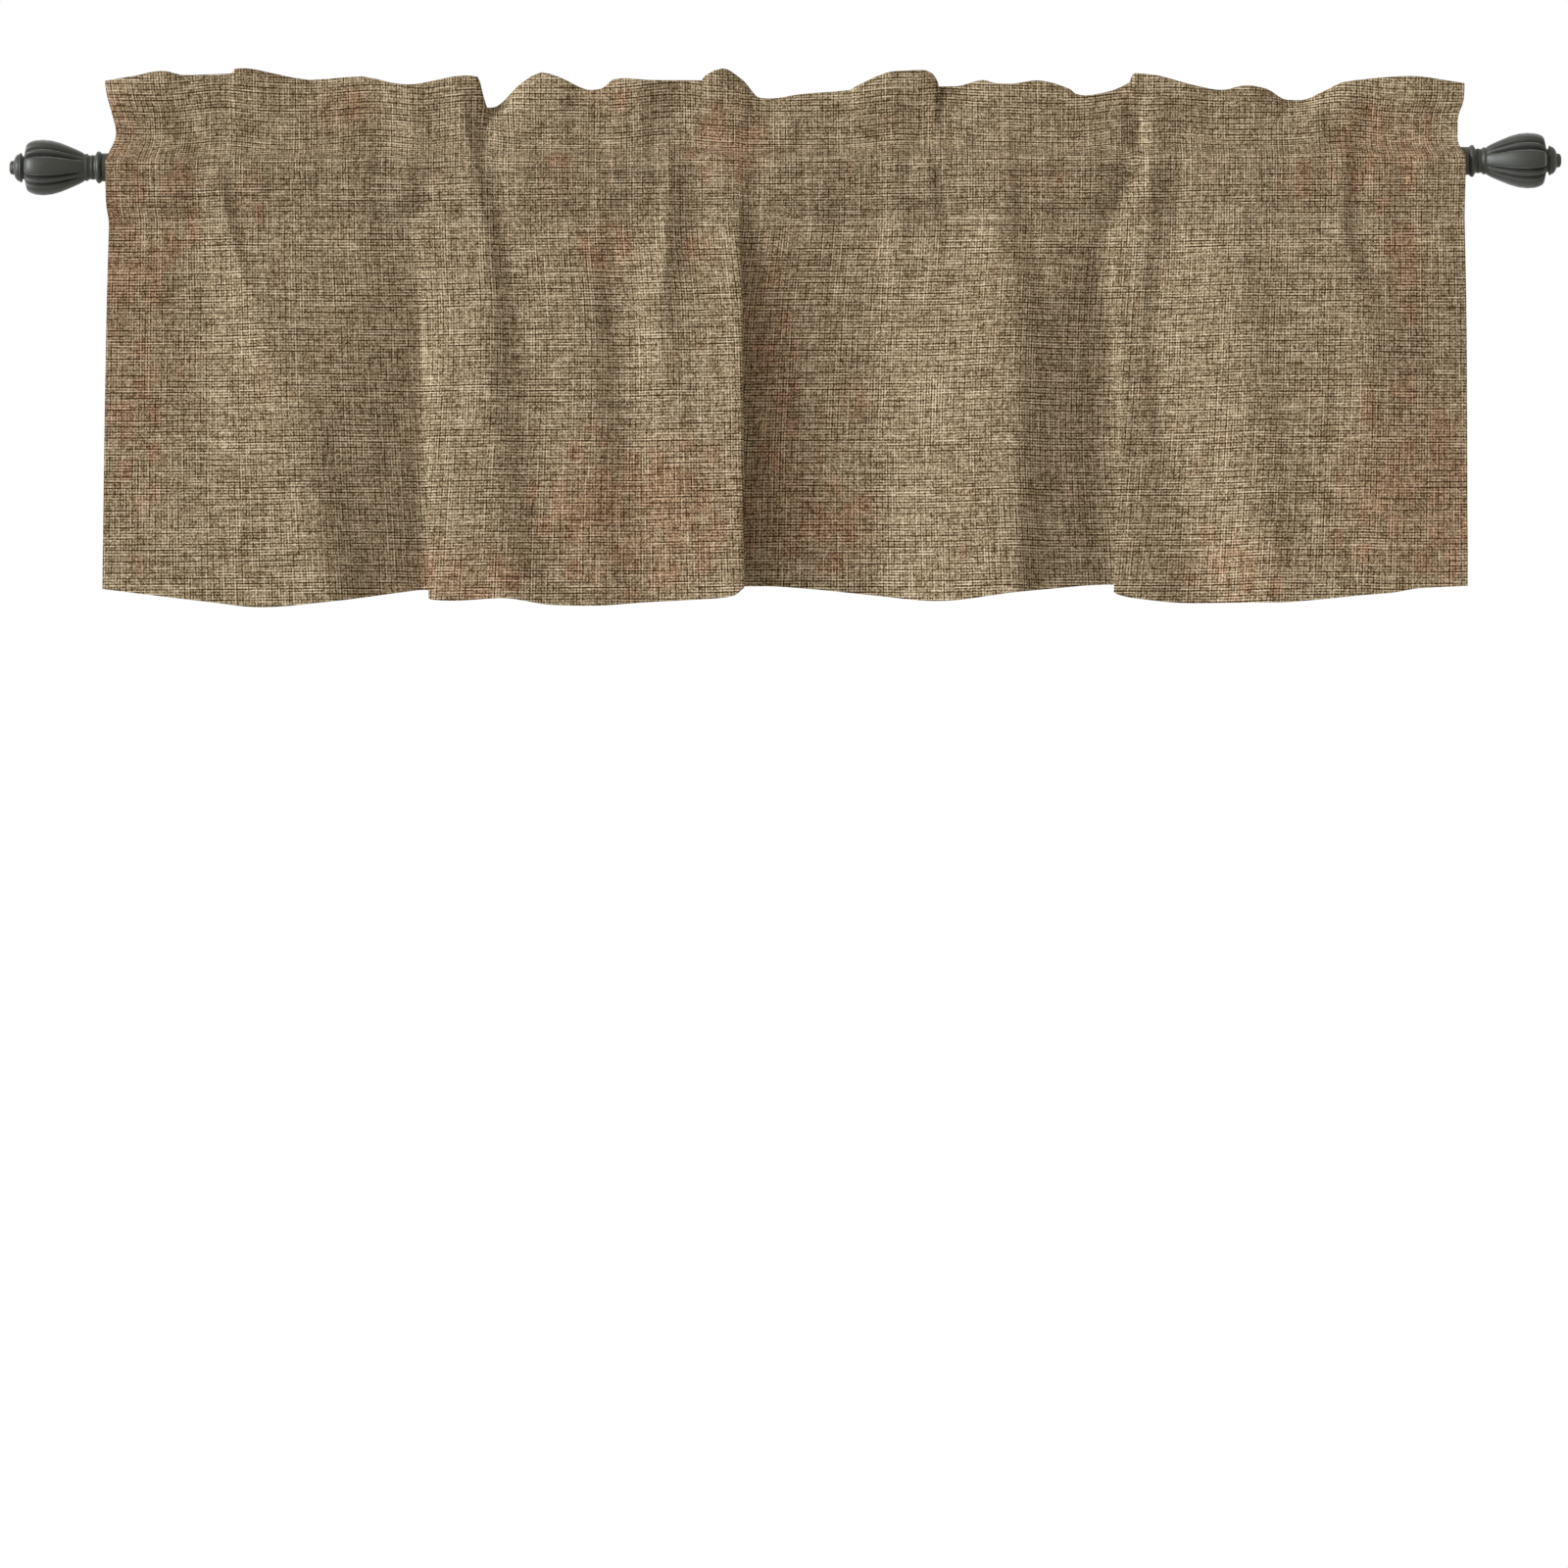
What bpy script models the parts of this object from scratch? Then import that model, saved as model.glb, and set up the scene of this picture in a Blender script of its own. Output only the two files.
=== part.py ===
"""Rod-pocket valance, gathered on its curtain rod between two fluted finials.

The origin is on the rod's axis at mid-length, with +X along the rod, -Y towards the room and +Z up.
Sizes are in millimetres, and the meshes are in metres.
"""

import math
from collections import namedtuple

import bmesh
import bpy
import numpy as np

MM = 0.001

# Rod and the clear gap that neighbouring metal pieces keep
ROD_RADIUS = 12.5
COLLAR_FACES = 1211.0
GAP = 0.3
ROD_SIDES = 32
COLLAR_SIDES = 24
FINIAL_SIDES = 30

# Cloth
CLOTH_THICKNESS = 1.2
STITCHED_LAYERS = 1.6
POCKET_SEAM = -50.0
PANEL_DROP = 333.0
SEAM_ALLOWANCE = 4.0
UPPER_PANEL = 100.0
SEAM_SHARE = 0.2
COLUMN_WIDTH = 26.0
LAP_COLUMN_WIDTH = 9.5
NEAR_COLUMN = 8.0
SIDE_REACH = 70.0
SEARCH_STEPS = 2000

# Heights of the panel's rows, as shares of the drop from the pocket seam to the hem
PANEL_ROWS = (1.0, 0.94, 0.84, 0.72, 0.59, 0.46, 0.34, 0.23, 0.13, 0.05)

# Each fold of the panel from left to right: where it lies along the rod at the pocket seam, how far
# along and forward it lies in the upper panel and at the hem, and the height of the hem there
Fold = namedtuple("Fold", "name seam_x upper_x upper_forward hem_x hem_forward hem_z")
FOLDS = (
    Fold("left edge", -600, -603, 0, -607, 3, -374),
    Fold("left hollow", -522, -519, -4, -512, 4, -386),
    Fold("left slope", -508, -492, 3, -466, 8, -391),
    Fold("left ridge", -490, -450, 14, -402, 17, -386),
    Fold("left ridge foot", -469, -416, 11, -364, 1, -381),
    Fold("left shoulder", -392, -384, 7, -342, -5, -378),
    Fold("second hollow", -333, -326, -6, -325, -11, -376),
    Fold("left lap turn", -328, -323, -5, -307, -7, -377),
    Fold("left lap edge", -323, -319, -2, -317, 4, -384),
    Fold("left flap", -300, -297, 6, -296, 11, -386),
    Fold("second crest", -265, -265, 12, -252, 15, -384),
    Fold("second crest foot", -246, -232, 4, -208, 9, -390),
    Fold("third crest", -182, -178, 8, -173, 9, -391),
    Fold("third hollow", -153, -147, 2, -125, 3, -388),
    Fold("fourth crest", -106, -103, 11, -80, 10, -386),
    Fold("fourth dip", -93, -87, 10, -62, 13, -385),
    Fold("middle crest", -51, -49, 14, -48, 16, -383),
    Fold("middle lap edge", -42, -39, 13, -39, 15, -376),
    Fold("middle lap turn", -38, -44, -3, -51, -9, -374),
    Fold("middle hollow start", -20, -8, -10, -20, -14, -374),
    Fold("middle hollow", 14, 20, -13, 14, -18, -376),
    Fold("middle hollow end", 66, 72, -13, 73, -20, -382),
    Fold("right slope", 133, 133, 3, 135, 0, -388),
    Fold("right ridge", 196, 201, 17, 200, 15, -381),
    Fold("right ridge foot", 218, 238, 4, 230, -1, -378),
    Fold("right hollow", 270, 282, -8, 284, -13, -374),
    Fold("right lap turn", 281, 291, -5, 301, -6, -374),
    Fold("right lap edge", 290, 299, -1, 290, 4, -381),
    Fold("sixth crest", 311, 314, -1, 312, 3, -387),
    Fold("sixth hollow", 330, 328, -3, 362, -2, -391),
    Fold("seventh crest", 390, 402, 18, 434, 19, -391),
    Fold("seventh dip", 437, 437, 14, 466, 16, -389),
    Fold("eighth crest", 490, 508, 17, 508, 17, -385),
    Fold("eighth foot", 503, 535, 9, 534, 13, -383),
    Fold("last slope", 555, 560, 6, 560, 14, -379),
    Fold("right edge", 602, 603, 3, 602, 16, -377),
)

# The waves of the header's top fold: where each lies, its height, and how far it leans forward
Wave = namedtuple("Wave", "x top_z forward")
WAVES = (
    Wave(-603, 76, 0),
    Wave(-547, 85, 8),
    Wave(-512, 81, 2),
    Wave(-486, 86, 6),
    Wave(-425, 78, -3),
    Wave(-367, 80, 0),
    Wave(-341, 72, 3),
    Wave(-281, 80, 3),
    Wave(-262, 54, -15),
    Wave(-219, 82, 2),
    Wave(-173, 67, 3),
    Wave(-136, 75, 6),
    Wave(-84, 74, 5),
    Wave(-55, 85, 6),
    Wave(-14, 60, -3),
    Wave(51, 66, 1),
    Wave(112, 83, 9),
    Wave(139, 68, -1),
    Wave(172, 74, 2),
    Wave(190, 70, 2),
    Wave(220, 73, 5),
    Wave(265, 60, 2),
    Wave(316, 78, 8),
    Wave(390, 65, 3),
    Wave(420, 66, -1),
    Wave(450, 56, -9),
    Wave(546, 76, 2),
    Wave(603, 70, 0),
)

# The two side edges at each height of the header and the rod pocket
Side = namedtuple("Side", "z left right")
SIDES = (
    Side(-50, -600, 602),
    Side(-30, -602, 602),
    Side(0, -602, 602),
    Side(18, -598, 596),
    Side(35, -592, 596),
    Side(50, -598, 601),
    Side(80, -603, 603),
)

# Height of the header's stitch line along the rod
HeaderSeam = namedtuple("HeaderSeam", "x z")
HEADER_SEAM = (
    HeaderSeam(-605, 30),
    HeaderSeam(-540, 24),
    HeaderSeam(-300, 21),
    HeaderSeam(0, 20),
    HeaderSeam(605, 20),
)

# The pocket's section round the rod: the angle from straight up, the distance from the rod's axis,
# and the share of the puff between two gathers
PocketPoint = namedtuple("PocketPoint", "angle radius puff")
POCKET = (
    PocketPoint(50, 13.7, 0.0),
    PocketPoint(80, 15.8, 0.8),
    PocketPoint(112, 16.4, 0.8),
    PocketPoint(140, 20.4, 0.45),
    PocketPoint(162, 30.0, 0.1),
)
GATHERS = (-504, -362, -277, -99, 101, 133, 307, 334, 496)
PUFF = 4.0
PUFF_REACH = 32.0

# The header's layers from their stitch line up: share of the height, and how far each bows out
HeaderPoint = namedtuple("HeaderPoint", "share bow")
HEADER = (HeaderPoint(0.0, 0.0), HeaderPoint(0.33, 1.6), HeaderPoint(0.7, 1.4))
FOLD_RADIUS = 1.5
LEAN_CURVE = 1.6

# Turned profiles from the collar's inner face outwards: distance, radius, and share of the fluting
Ring = namedtuple("Ring", "reach radius flute")
COLLAR = (
    Ring(0.0, 12.4, 0),
    Ring(1.2, 13.4, 0),
    Ring(2.6, 14.2, 0),
    Ring(4.2, 14.2, 0),
    Ring(5.4, 13.0, 0),
    Ring(6.2, 11.0, 0),
    Ring(7.4, 10.6, 0),
)
FINIAL = (
    Ring(7.7, 10.6, 0),
    Ring(11.6, 10.5, 0),
    Ring(12.8, 11.9, 0),
    Ring(15.0, 11.6, 0),
    Ring(17.4, 13.2, 0.3),
    Ring(23.1, 16.1, 0.7),
    Ring(29.8, 19.1, 1),
    Ring(37.0, 22.0, 1),
    Ring(44.5, 24.1, 1),
    Ring(52.0, 24.9, 1),
    Ring(58.5, 24.5, 1),
    Ring(63.6, 22.9, 1),
    Ring(66.6, 20.4, 1),
    Ring(67.8, 16.2, 0.8),
    Ring(68.8, 12.2, 0),
    Ring(69.6, 11.3, 0),
    Ring(70.6, 13.0, 0),
    Ring(72.6, 13.1, 0),
    Ring(74.6, 11.0, 0),
    Ring(75.4, 7.8, 0),
    Ring(79.5, 7.2, 0),
    Ring(82.0, 4.0, 0),
    Ring(82.6, 0.0, 0),
)
PETALS = 5
FLUTE_DEPTH = 0.085
RIB_DEPTH = 0.03
GROOVE_PLACE = 0.7
GROOVE_WIDTH = 0.5
CLOSING_GAP = 1e-4


def clear_scene():
    for obj in list(bpy.data.objects):
        bpy.data.objects.remove(obj)


def new_collection(name):
    collection = bpy.data.collections.new(name)
    bpy.context.scene.collection.children.link(collection)
    return collection


def new_material(name, colour, roughness, metallic=0.0):
    material = bpy.data.materials.new(name)
    material.use_nodes = True
    shader = material.node_tree.nodes["Principled BSDF"]
    shader.inputs["Base Color"].default_value = (*colour, 1.0)
    shader.inputs["Roughness"].default_value = roughness
    shader.inputs["Metallic"].default_value = metallic
    return material


def new_object(name, mesh_builder, material, collection):
    """An object whose mesh is the builder's, shaded smooth but for its sharp edges."""
    mesh = bpy.data.meshes.new(name)
    mesh_builder.to_mesh(mesh)
    mesh_builder.free()
    mesh.materials.append(material)
    mesh.shade_smooth()
    mesh.set_sharp_from_angle(angle=math.radians(40))
    obj = bpy.data.objects.new(name, mesh)
    collection.objects.link(obj)
    return obj


def flowing(places, values, at):
    """Values at some places of a smooth line through a table, which is level at its peaks and dips."""
    places = np.asarray(places, float)
    values = np.asarray(values, float)
    gaps = np.diff(places)
    rises = np.diff(values) / gaps
    sums = rises[:-1] + rises[1:]
    inner = np.where(
        rises[:-1] * rises[1:] > 0,
        2 * rises[:-1] * rises[1:] / np.where(sums == 0, 1.0, sums),
        0.0,
    )
    slopes = np.concatenate([rises[:1], inner, rises[-1:]])
    at = np.clip(at, places[0], places[-1])
    i = np.clip(np.searchsorted(places, at, side="right") - 1, 0, len(gaps) - 1)
    t = (at - places[i]) / gaps[i]
    ease = t * t * (3 - 2 * t)
    leaving = t * (1 - t) ** 2 * gaps[i] * slopes[i]
    arriving = t * t * (1 - t) * gaps[i] * slopes[i + 1]
    return values[i] + (values[i + 1] - values[i]) * ease + leaving - arriving


def column(table, name):
    return np.array([getattr(row, name) for row in table], float)


def fold_places():
    """How far along the hem's folded line each fold lies."""
    steps = np.hypot(np.diff(column(FOLDS, "hem_x")), np.diff(column(FOLDS, "hem_forward")))
    return np.concatenate([[0.0], np.cumsum(steps)])


def stations():
    """Places of the mesh's columns along the hem: one on each fold and each wave, and more between them."""
    places = fold_places()
    fine = np.linspace(0.0, places[-1], SEARCH_STEPS)
    waves = np.interp(column(WAVES, "x"), panel_points(fine, 0.0)[0], fine)
    marks = [*places, *(wave for wave in waves if np.min(np.abs(places - wave)) > NEAR_COLUMN)]
    marks.sort()
    found = [0.0]
    for start, end in zip(marks, marks[1:]):
        fold = int(np.searchsorted(places, (start + end) / 2)) - 1
        in_lap = "lap" in FOLDS[fold].name or "lap" in FOLDS[fold + 1].name
        count = math.ceil((end - start) / (LAP_COLUMN_WIDTH if in_lap else COLUMN_WIDTH))
        found.extend(np.linspace(start, end, count + 1)[1:])
    return np.array(found)


def panel_points(at, share):
    """Points of the panel at one share of its drop: x, forward and z for each station."""
    places = fold_places()
    hem_z = flowing(places, column(FOLDS, "hem_z"), at)
    drop = share * PANEL_DROP
    levels = (0.0, UPPER_PANEL, PANEL_DROP)
    row_x = []
    row_forward = []
    for fold in FOLDS:
        row_x.append(flowing(levels, (fold.seam_x, fold.upper_x, fold.hem_x), drop))
        seam_forward = SEAM_SHARE * fold.upper_forward
        row_forward.append(
            flowing(levels, (seam_forward, fold.upper_forward, fold.hem_forward), drop)
        )
    x = flowing(places, row_x, at)
    forward = flowing(places, row_forward, at)
    z = POCKET_SEAM + share * (hem_z - POCKET_SEAM)
    return x, forward, z


def spread(rod_x, z):
    """Moves the points near a side edge along the rod, so that the edge follows its outline at that height."""
    moved = rod_x
    for name, edge in (("left", FOLDS[0].seam_x), ("right", FOLDS[-1].seam_x)):
        shift = flowing(column(SIDES, "z"), column(SIDES, name), z) - edge
        moved = moved + shift * np.exp(-(((rod_x - edge) / SIDE_REACH) ** 2))
    return moved


def pocket_puff(x):
    """How far the pocket swells at each place: not at all at a gather, and fully between two."""
    nearest = np.min(np.abs(x[:, None] - np.array(GATHERS)[None, :]), axis=1)
    return PUFF * (1 - np.exp(-((nearest / PUFF_REACH) ** 2)))


def pocket_points(at, point, side):
    """Points of the pocket's front layer (side 1) or back layer (side -1) at one angle round the rod."""
    seam_x, _, _ = panel_points(at, 0.0)
    radius = point.radius + point.puff * pocket_puff(seam_x)
    angle = math.radians(point.angle)
    z = radius * math.cos(angle)
    return spread(seam_x, z), side * radius * math.sin(angle), z


def header_points(at, share):
    """Points midway between the header's two layers, at one share of its height."""
    seam_x, _, _ = panel_points(at, 0.0)
    seam_z = flowing(column(HEADER_SEAM, "x"), column(HEADER_SEAM, "z"), seam_x)
    top_z = flowing(column(WAVES, "x"), column(WAVES, "top_z"), seam_x) - CLOTH_THICKNESS / 2
    lean = flowing(column(WAVES, "x"), column(WAVES, "forward"), seam_x)
    z = seam_z + share * (top_z - seam_z)
    return spread(seam_x, z), lean * share**LEAN_CURVE, z


def layered(points, amount):
    """Moves a row square to its own line as seen from above, forward by a positive amount."""
    x, forward, z = points
    along = np.gradient(x)
    rise = np.gradient(forward)
    length = np.hypot(along, rise)
    return x - amount * rise / length, forward + amount * along / length, z


def lowered(points, amount):
    x, forward, z = points
    return x, forward, z - amount


def cloth_rows(at):
    """Every row of the sheet, from the hem up the front, over the top fold and down the back."""
    half = STITCHED_LAYERS / 2
    rows = []
    for share in (*PANEL_ROWS, 0.0):
        rows.append(layered(panel_points(at, share), half))
    for point in reversed(POCKET):
        rows.append(pocket_points(at, point, 1))
    for point in HEADER:
        rows.append(layered(header_points(at, point.share), half + point.bow))
    top = header_points(at, 1.0)
    rows.append(lowered(layered(top, FOLD_RADIUS), FOLD_RADIUS))
    rows.append(top)
    rows.append(lowered(layered(top, -FOLD_RADIUS), FOLD_RADIUS))
    for point in reversed(HEADER):
        rows.append(layered(header_points(at, point.share), -half - point.bow))
    for point in POCKET:
        rows.append(pocket_points(at, point, -1))
    for share in (0.0, SEAM_ALLOWANCE / PANEL_DROP):
        rows.append(layered(panel_points(at, share), -half))
    return rows


def make_cloth(material, collection):
    """One sheet, turned over at the top and given its thickness to both sides."""
    at = stations()
    rows = cloth_rows(at)
    sheet = bmesh.new()
    bmesh.ops.create_grid(sheet, x_segments=len(at) - 1, y_segments=len(rows) - 1, size=1.0)
    for vert in sheet.verts:
        across = round((vert.co.x + 1) / 2 * (len(at) - 1))
        along = round((vert.co.y + 1) / 2 * (len(rows) - 1))
        x, forward, z = rows[along]
        vert.co = (x[across] * MM, -forward[across] * MM, z[across] * MM)
    bmesh.ops.reverse_faces(sheet, faces=sheet.faces)
    cloth = new_object("valance_cloth", sheet, material, collection)
    thickness = cloth.modifiers.new("thickness", "SOLIDIFY")
    thickness.thickness = CLOTH_THICKNESS * MM
    thickness.offset = 0.0
    thickness.use_even_offset = True
    return cloth


def make_rod(material, collection):
    length = COLLAR_FACES - 2 * GAP
    bar = bmesh.new()
    bmesh.ops.create_cone(
        bar,
        cap_ends=True,
        segments=ROD_SIDES,
        radius1=ROD_RADIUS * MM,
        radius2=ROD_RADIUS * MM,
        depth=length * MM,
    )
    rod = new_object("curtain_rod", bar, material, collection)
    rod.rotation_euler.y = math.pi / 2
    return rod


def flute(angle, share):
    """The factor that draws a radius in: least on a petal, more on a rib, most in a groove."""
    turn = math.cos(PETALS * angle)
    groove = math.exp(-(((turn + GROOVE_PLACE) / GROOVE_WIDTH) ** 2))
    rib = max(0.0, -turn - GROOVE_PLACE) / (1 - GROOVE_PLACE)
    depth = FLUTE_DEPTH * groove * (1 - rib) + RIB_DEPTH * rib
    return 1 - share * depth


def make_turned(name, profile, sides, hand, material, collection):
    """A turned and fluted piece at one end of the rod: hand is 1 on the right and -1 on the left."""
    turned = bmesh.new()
    corners = []
    for ring in profile:
        corners.append(turned.verts.new((ring.reach, 0.0, ring.radius)))
    edges = [turned.edges.new(pair) for pair in zip(corners, corners[1:])]
    bmesh.ops.spin(
        turned,
        geom=corners + edges,
        cent=(0, 0, 0),
        axis=(1, 0, 0),
        steps=sides,
        angle=2 * math.pi,
        use_merge=True,
    )
    bmesh.ops.remove_doubles(turned, verts=turned.verts, dist=CLOSING_GAP)
    reach = column(profile, "reach")
    shares = column(profile, "flute")
    for vert in turned.verts:
        angle = math.atan2(vert.co.z, -hand * vert.co.y)
        factor = flute(angle, float(np.interp(vert.co.x, reach, shares)))
        vert.co.y *= factor
        vert.co.z *= factor
    rims = [edge for edge in turned.edges if edge.is_boundary]
    bmesh.ops.holes_fill(turned, edges=rims, sides=0)
    bmesh.ops.recalc_face_normals(turned, faces=turned.faces)
    bmesh.ops.scale(turned, vec=(MM, MM, MM), verts=turned.verts)
    piece = new_object(name, turned, material, collection)
    piece.location.x = hand * COLLAR_FACES / 2 * MM
    piece.rotation_euler.z = 0.0 if hand > 0 else math.pi
    return piece


def main():
    clear_scene()
    parts = new_collection("rod_pocket_valance")
    cloth = new_material("linen_cloth", (0.26, 0.21, 0.14), 0.9)
    bronze = new_material("dark_bronze", (0.06, 0.06, 0.055), 0.42, 0.85)
    make_cloth(cloth, parts)
    make_rod(bronze, parts)
    for side, hand in (("left", -1), ("right", 1)):
        make_turned(f"collar_{side}", COLLAR, COLLAR_SIDES, hand, bronze, parts)
        make_turned(f"finial_{side}", FINIAL, FINIAL_SIDES, hand, bronze, parts)


main()
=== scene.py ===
"""Rod-pocket valance of slubby linen-look cloth, gathered on a dark rod with fluted finials.

Sizes in the tables are in millimetres, with +X along the rod, forward towards the room (-Y) and +Z up.
The finished meshes are in metres.
"""

import math
from collections import namedtuple

import bmesh
import bpy
import numpy as np
from bpy.props import FloatProperty, FloatVectorProperty, IntProperty, PointerProperty
from mathutils import Matrix, Vector, noise


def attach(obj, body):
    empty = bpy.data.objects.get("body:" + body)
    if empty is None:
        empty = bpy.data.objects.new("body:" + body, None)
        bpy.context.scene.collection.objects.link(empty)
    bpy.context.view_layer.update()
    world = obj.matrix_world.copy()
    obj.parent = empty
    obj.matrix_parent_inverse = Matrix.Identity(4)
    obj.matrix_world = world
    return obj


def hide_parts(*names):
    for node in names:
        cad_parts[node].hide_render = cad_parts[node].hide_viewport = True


bl_info = {
    "name": "Rod-pocket valance",
    "version": (1, 0, 0),
    "blender": (4, 5, 0),
    "location": "3D View > Sidebar > Valance",
    "description": "Builds a gathered rod-pocket valance on its rod, with fluted finials",
    "category": "Object",
}

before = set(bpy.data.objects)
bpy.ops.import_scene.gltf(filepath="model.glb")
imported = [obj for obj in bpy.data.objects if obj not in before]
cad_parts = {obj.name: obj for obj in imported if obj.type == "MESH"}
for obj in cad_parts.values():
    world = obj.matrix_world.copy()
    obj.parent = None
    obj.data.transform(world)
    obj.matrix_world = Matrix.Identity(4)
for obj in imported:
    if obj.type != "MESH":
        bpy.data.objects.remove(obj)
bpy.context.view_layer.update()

MM = 0.001
CLOTH_MAP = "cloth"

# Cut of the cloth before it is gathered
FLAT_WIDTH = 1372.0

# Panel below the rod: the height of the pocket's seam, the drop to the hem and to the upper panel, and the
# shares of the drop that the main rows lie at. A fold starts at the seam with a share of its depth
POCKET_SEAM = -50.0
PANEL_DROP = 333.0
UPPER_PANEL = 100.0
SEAM_SHARE = 0.2
PANEL_ROWS = (1.0, 0.94, 0.84, 0.72, 0.59, 0.46, 0.34, 0.23, 0.13, 0.05)
SEAM_ALLOWANCE = 4.0
SEAM_ROWS = (0.0, SEAM_ALLOWANCE / PANEL_DROP)

# Pocket and header: the two layers' distance where they are stitched, the header's fold and its lean, the
# puff between two gathers, the least distance from the rod's axis, and how far a side edge draws the cloth
STITCHED_LAYERS = 1.8
FOLD_RADIUS = 1.1
LEAN_CURVE = 1.6
PUFF = 4.0
PUFF_REACH = 32.0
ROD_CLEARANCE = 13.2
SIDE_REACH = 70.0

# Mesh: its widest columns, in the laps too, its highest rows in each kind of place, and its sharp edges
COLUMN_WIDTH = 4.2
LAP_COLUMN_WIDTH = 2.4
NEAR_COLUMN = 0.8
SEARCH_STEPS = 4000
ROW_HEIGHTS = {"panel": 7.5, "pocket": 5.0, "header": 5.0, "fold": 0.9, "back": 9.0}
SHARP_ANGLE = 62.0

# Each fold of the panel from left to right: where it lies along the rod at the pocket seam, how far
# along and forward it lies in the upper panel and at the hem, and the height of the hem there
Fold = namedtuple("Fold", "name seam_x upper_x upper_forward hem_x hem_forward hem_z")
FOLDS = (
    Fold("left edge", -600, -603, 0, -607, 3, -374),
    Fold("left hollow", -522, -519, -4, -512, 4, -386),
    Fold("left slope", -508, -492, 3, -466, 8, -391),
    Fold("left ridge", -490, -450, 14, -402, 17, -386),
    Fold("left ridge foot", -469, -416, 11, -364, 1, -381),
    Fold("left shoulder", -392, -384, 7, -342, -5, -378),
    Fold("second hollow", -333, -326, -6, -325, -11, -376),
    Fold("left lap turn", -328, -323, -5, -307, -7, -377),
    Fold("left lap edge", -323, -319, -2, -317, 4, -384),
    Fold("left flap", -300, -297, 6, -296, 11, -386),
    Fold("second crest", -265, -265, 12, -252, 15, -384),
    Fold("second crest foot", -246, -232, 4, -208, 9, -390),
    Fold("third crest", -182, -178, 8, -173, 9, -391),
    Fold("third hollow", -153, -147, 2, -125, 3, -388),
    Fold("fourth crest", -106, -103, 11, -80, 10, -386),
    Fold("fourth dip", -93, -87, 10, -62, 13, -385),
    Fold("middle crest", -51, -49, 14, -48, 16, -383),
    Fold("middle lap edge", -42, -39, 13, -39, 15, -376),
    Fold("middle lap turn", -38, -44, -3, -51, -9, -374),
    Fold("middle hollow start", -20, -8, -10, -20, -14, -374),
    Fold("middle hollow", 14, 20, -13, 14, -18, -376),
    Fold("middle hollow end", 66, 72, -13, 73, -20, -382),
    Fold("right slope", 133, 133, 3, 135, 0, -388),
    Fold("right ridge", 196, 201, 17, 200, 15, -381),
    Fold("right ridge foot", 218, 238, 4, 230, -1, -378),
    Fold("right hollow", 270, 282, -8, 284, -13, -374),
    Fold("right lap turn", 281, 291, -5, 301, -6, -374),
    Fold("right lap edge", 290, 299, -1, 290, 4, -381),
    Fold("sixth crest", 311, 314, -1, 312, 3, -387),
    Fold("sixth hollow", 330, 328, -3, 362, -2, -391),
    Fold("seventh crest", 390, 412, 18.5, 434, 19, -391),
    Fold("seventh dip", 437, 440, 15.5, 466, 16, -389),
    Fold("eighth crest", 490, 508, 17, 508, 17, -385),
    Fold("eighth foot", 503, 535, 9, 534, 13, -383),
    Fold("last slope", 555, 560, 6, 560, 14, -379),
    Fold("right edge", 602, 603, 3, 602, 16, -377),
)

# The waves of the header's top fold: where each lies, its height, and how far it leans forward.
# Two rows close together are a small tuck, where one part of the header stands before the next
Wave = namedtuple("Wave", "x top_z forward")
WAVES = (
    Wave(-603, 76.4, 0),
    Wave(-575, 80.5, 5),
    Wave(-550, 84.8, 8),
    Wave(-531, 81.2, 5),
    Wave(-500, 82.3, 0),
    Wave(-489.7, 83.0, 0),
    Wave(-487.7, 86.4, 5),
    Wave(-480.7, 86.9, 6),
    Wave(-449, 81.5, 2),
    Wave(-422, 77.0, -3),
    Wave(-374.5, 79.8, -2),
    Wave(-349.5, 73.8, 3),
    Wave(-334.5, 72.1, 3),
    Wave(-282.5, 79.8, 3),
    Wave(-272.5, 78.6, 2),
    Wave(-268.5, 63.0, -5),
    Wave(-264.5, 52.5, -14),
    Wave(-259.5, 52.8, -15),
    Wave(-233, 73.7, -2),
    Wave(-216, 82.4, 2),
    Wave(-201, 78.2, 4),
    Wave(-172, 66.6, 3),
    Wave(-163, 67.6, 2),
    Wave(-152, 75.6, 4),
    Wave(-143, 76.5, 6),
    Wave(-120, 74.6, 8),
    Wave(-74, 74.4, 4),
    Wave(-71, 78.4, 7),
    Wave(-55, 84.6, 6),
    Wave(-38, 75.2, 2),
    Wave(-22, 59.1, -2),
    Wave(-14, 58.6, -3),
    Wave(16, 62.4, -2),
    Wave(57, 65.6, 1),
    Wave(64, 69.3, 3),
    Wave(98, 81.4, 9),
    Wave(122, 82.2, 10),
    Wave(131, 78.9, 9),
    Wave(134.4, 72.9, 6),
    Wave(136, 68.4, -1),
    Wave(151, 68.5, -1),
    Wave(176, 73.6, 2),
    Wave(187, 70.7, 2),
    Wave(200, 70.2, 3),
    Wave(223, 72.8, 5),
    Wave(253, 64.9, 4),
    Wave(257, 61.2, 3),
    Wave(266, 59.6, 2),
    Wave(282, 61.9, 2),
    Wave(306, 71.6, 2),
    Wave(309, 78.6, 8),
    Wave(328, 76.8, 8),
    Wave(361, 68.3, 6),
    Wave(387, 63.8, 3),
    Wave(409, 67.9, 2),
    Wave(427, 65.2, -3),
    Wave(445, 55.8, -9),
    Wave(458, 55.3, -9),
    Wave(478, 62.9, -5),
    Wave(497, 70.8, 0),
    Wave(553, 75.3, 2),
    Wave(603, 68.9, 0),
)

# The two side edges at each height of the header and the rod pocket
Side = namedtuple("Side", "z left right")
SIDES = (
    Side(-50, -600, 602),
    Side(-30, -602, 602),
    Side(0, -602, 602),
    Side(18, -598, 596),
    Side(35, -592, 596),
    Side(50, -598, 601),
    Side(80, -603, 603),
)

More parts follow.
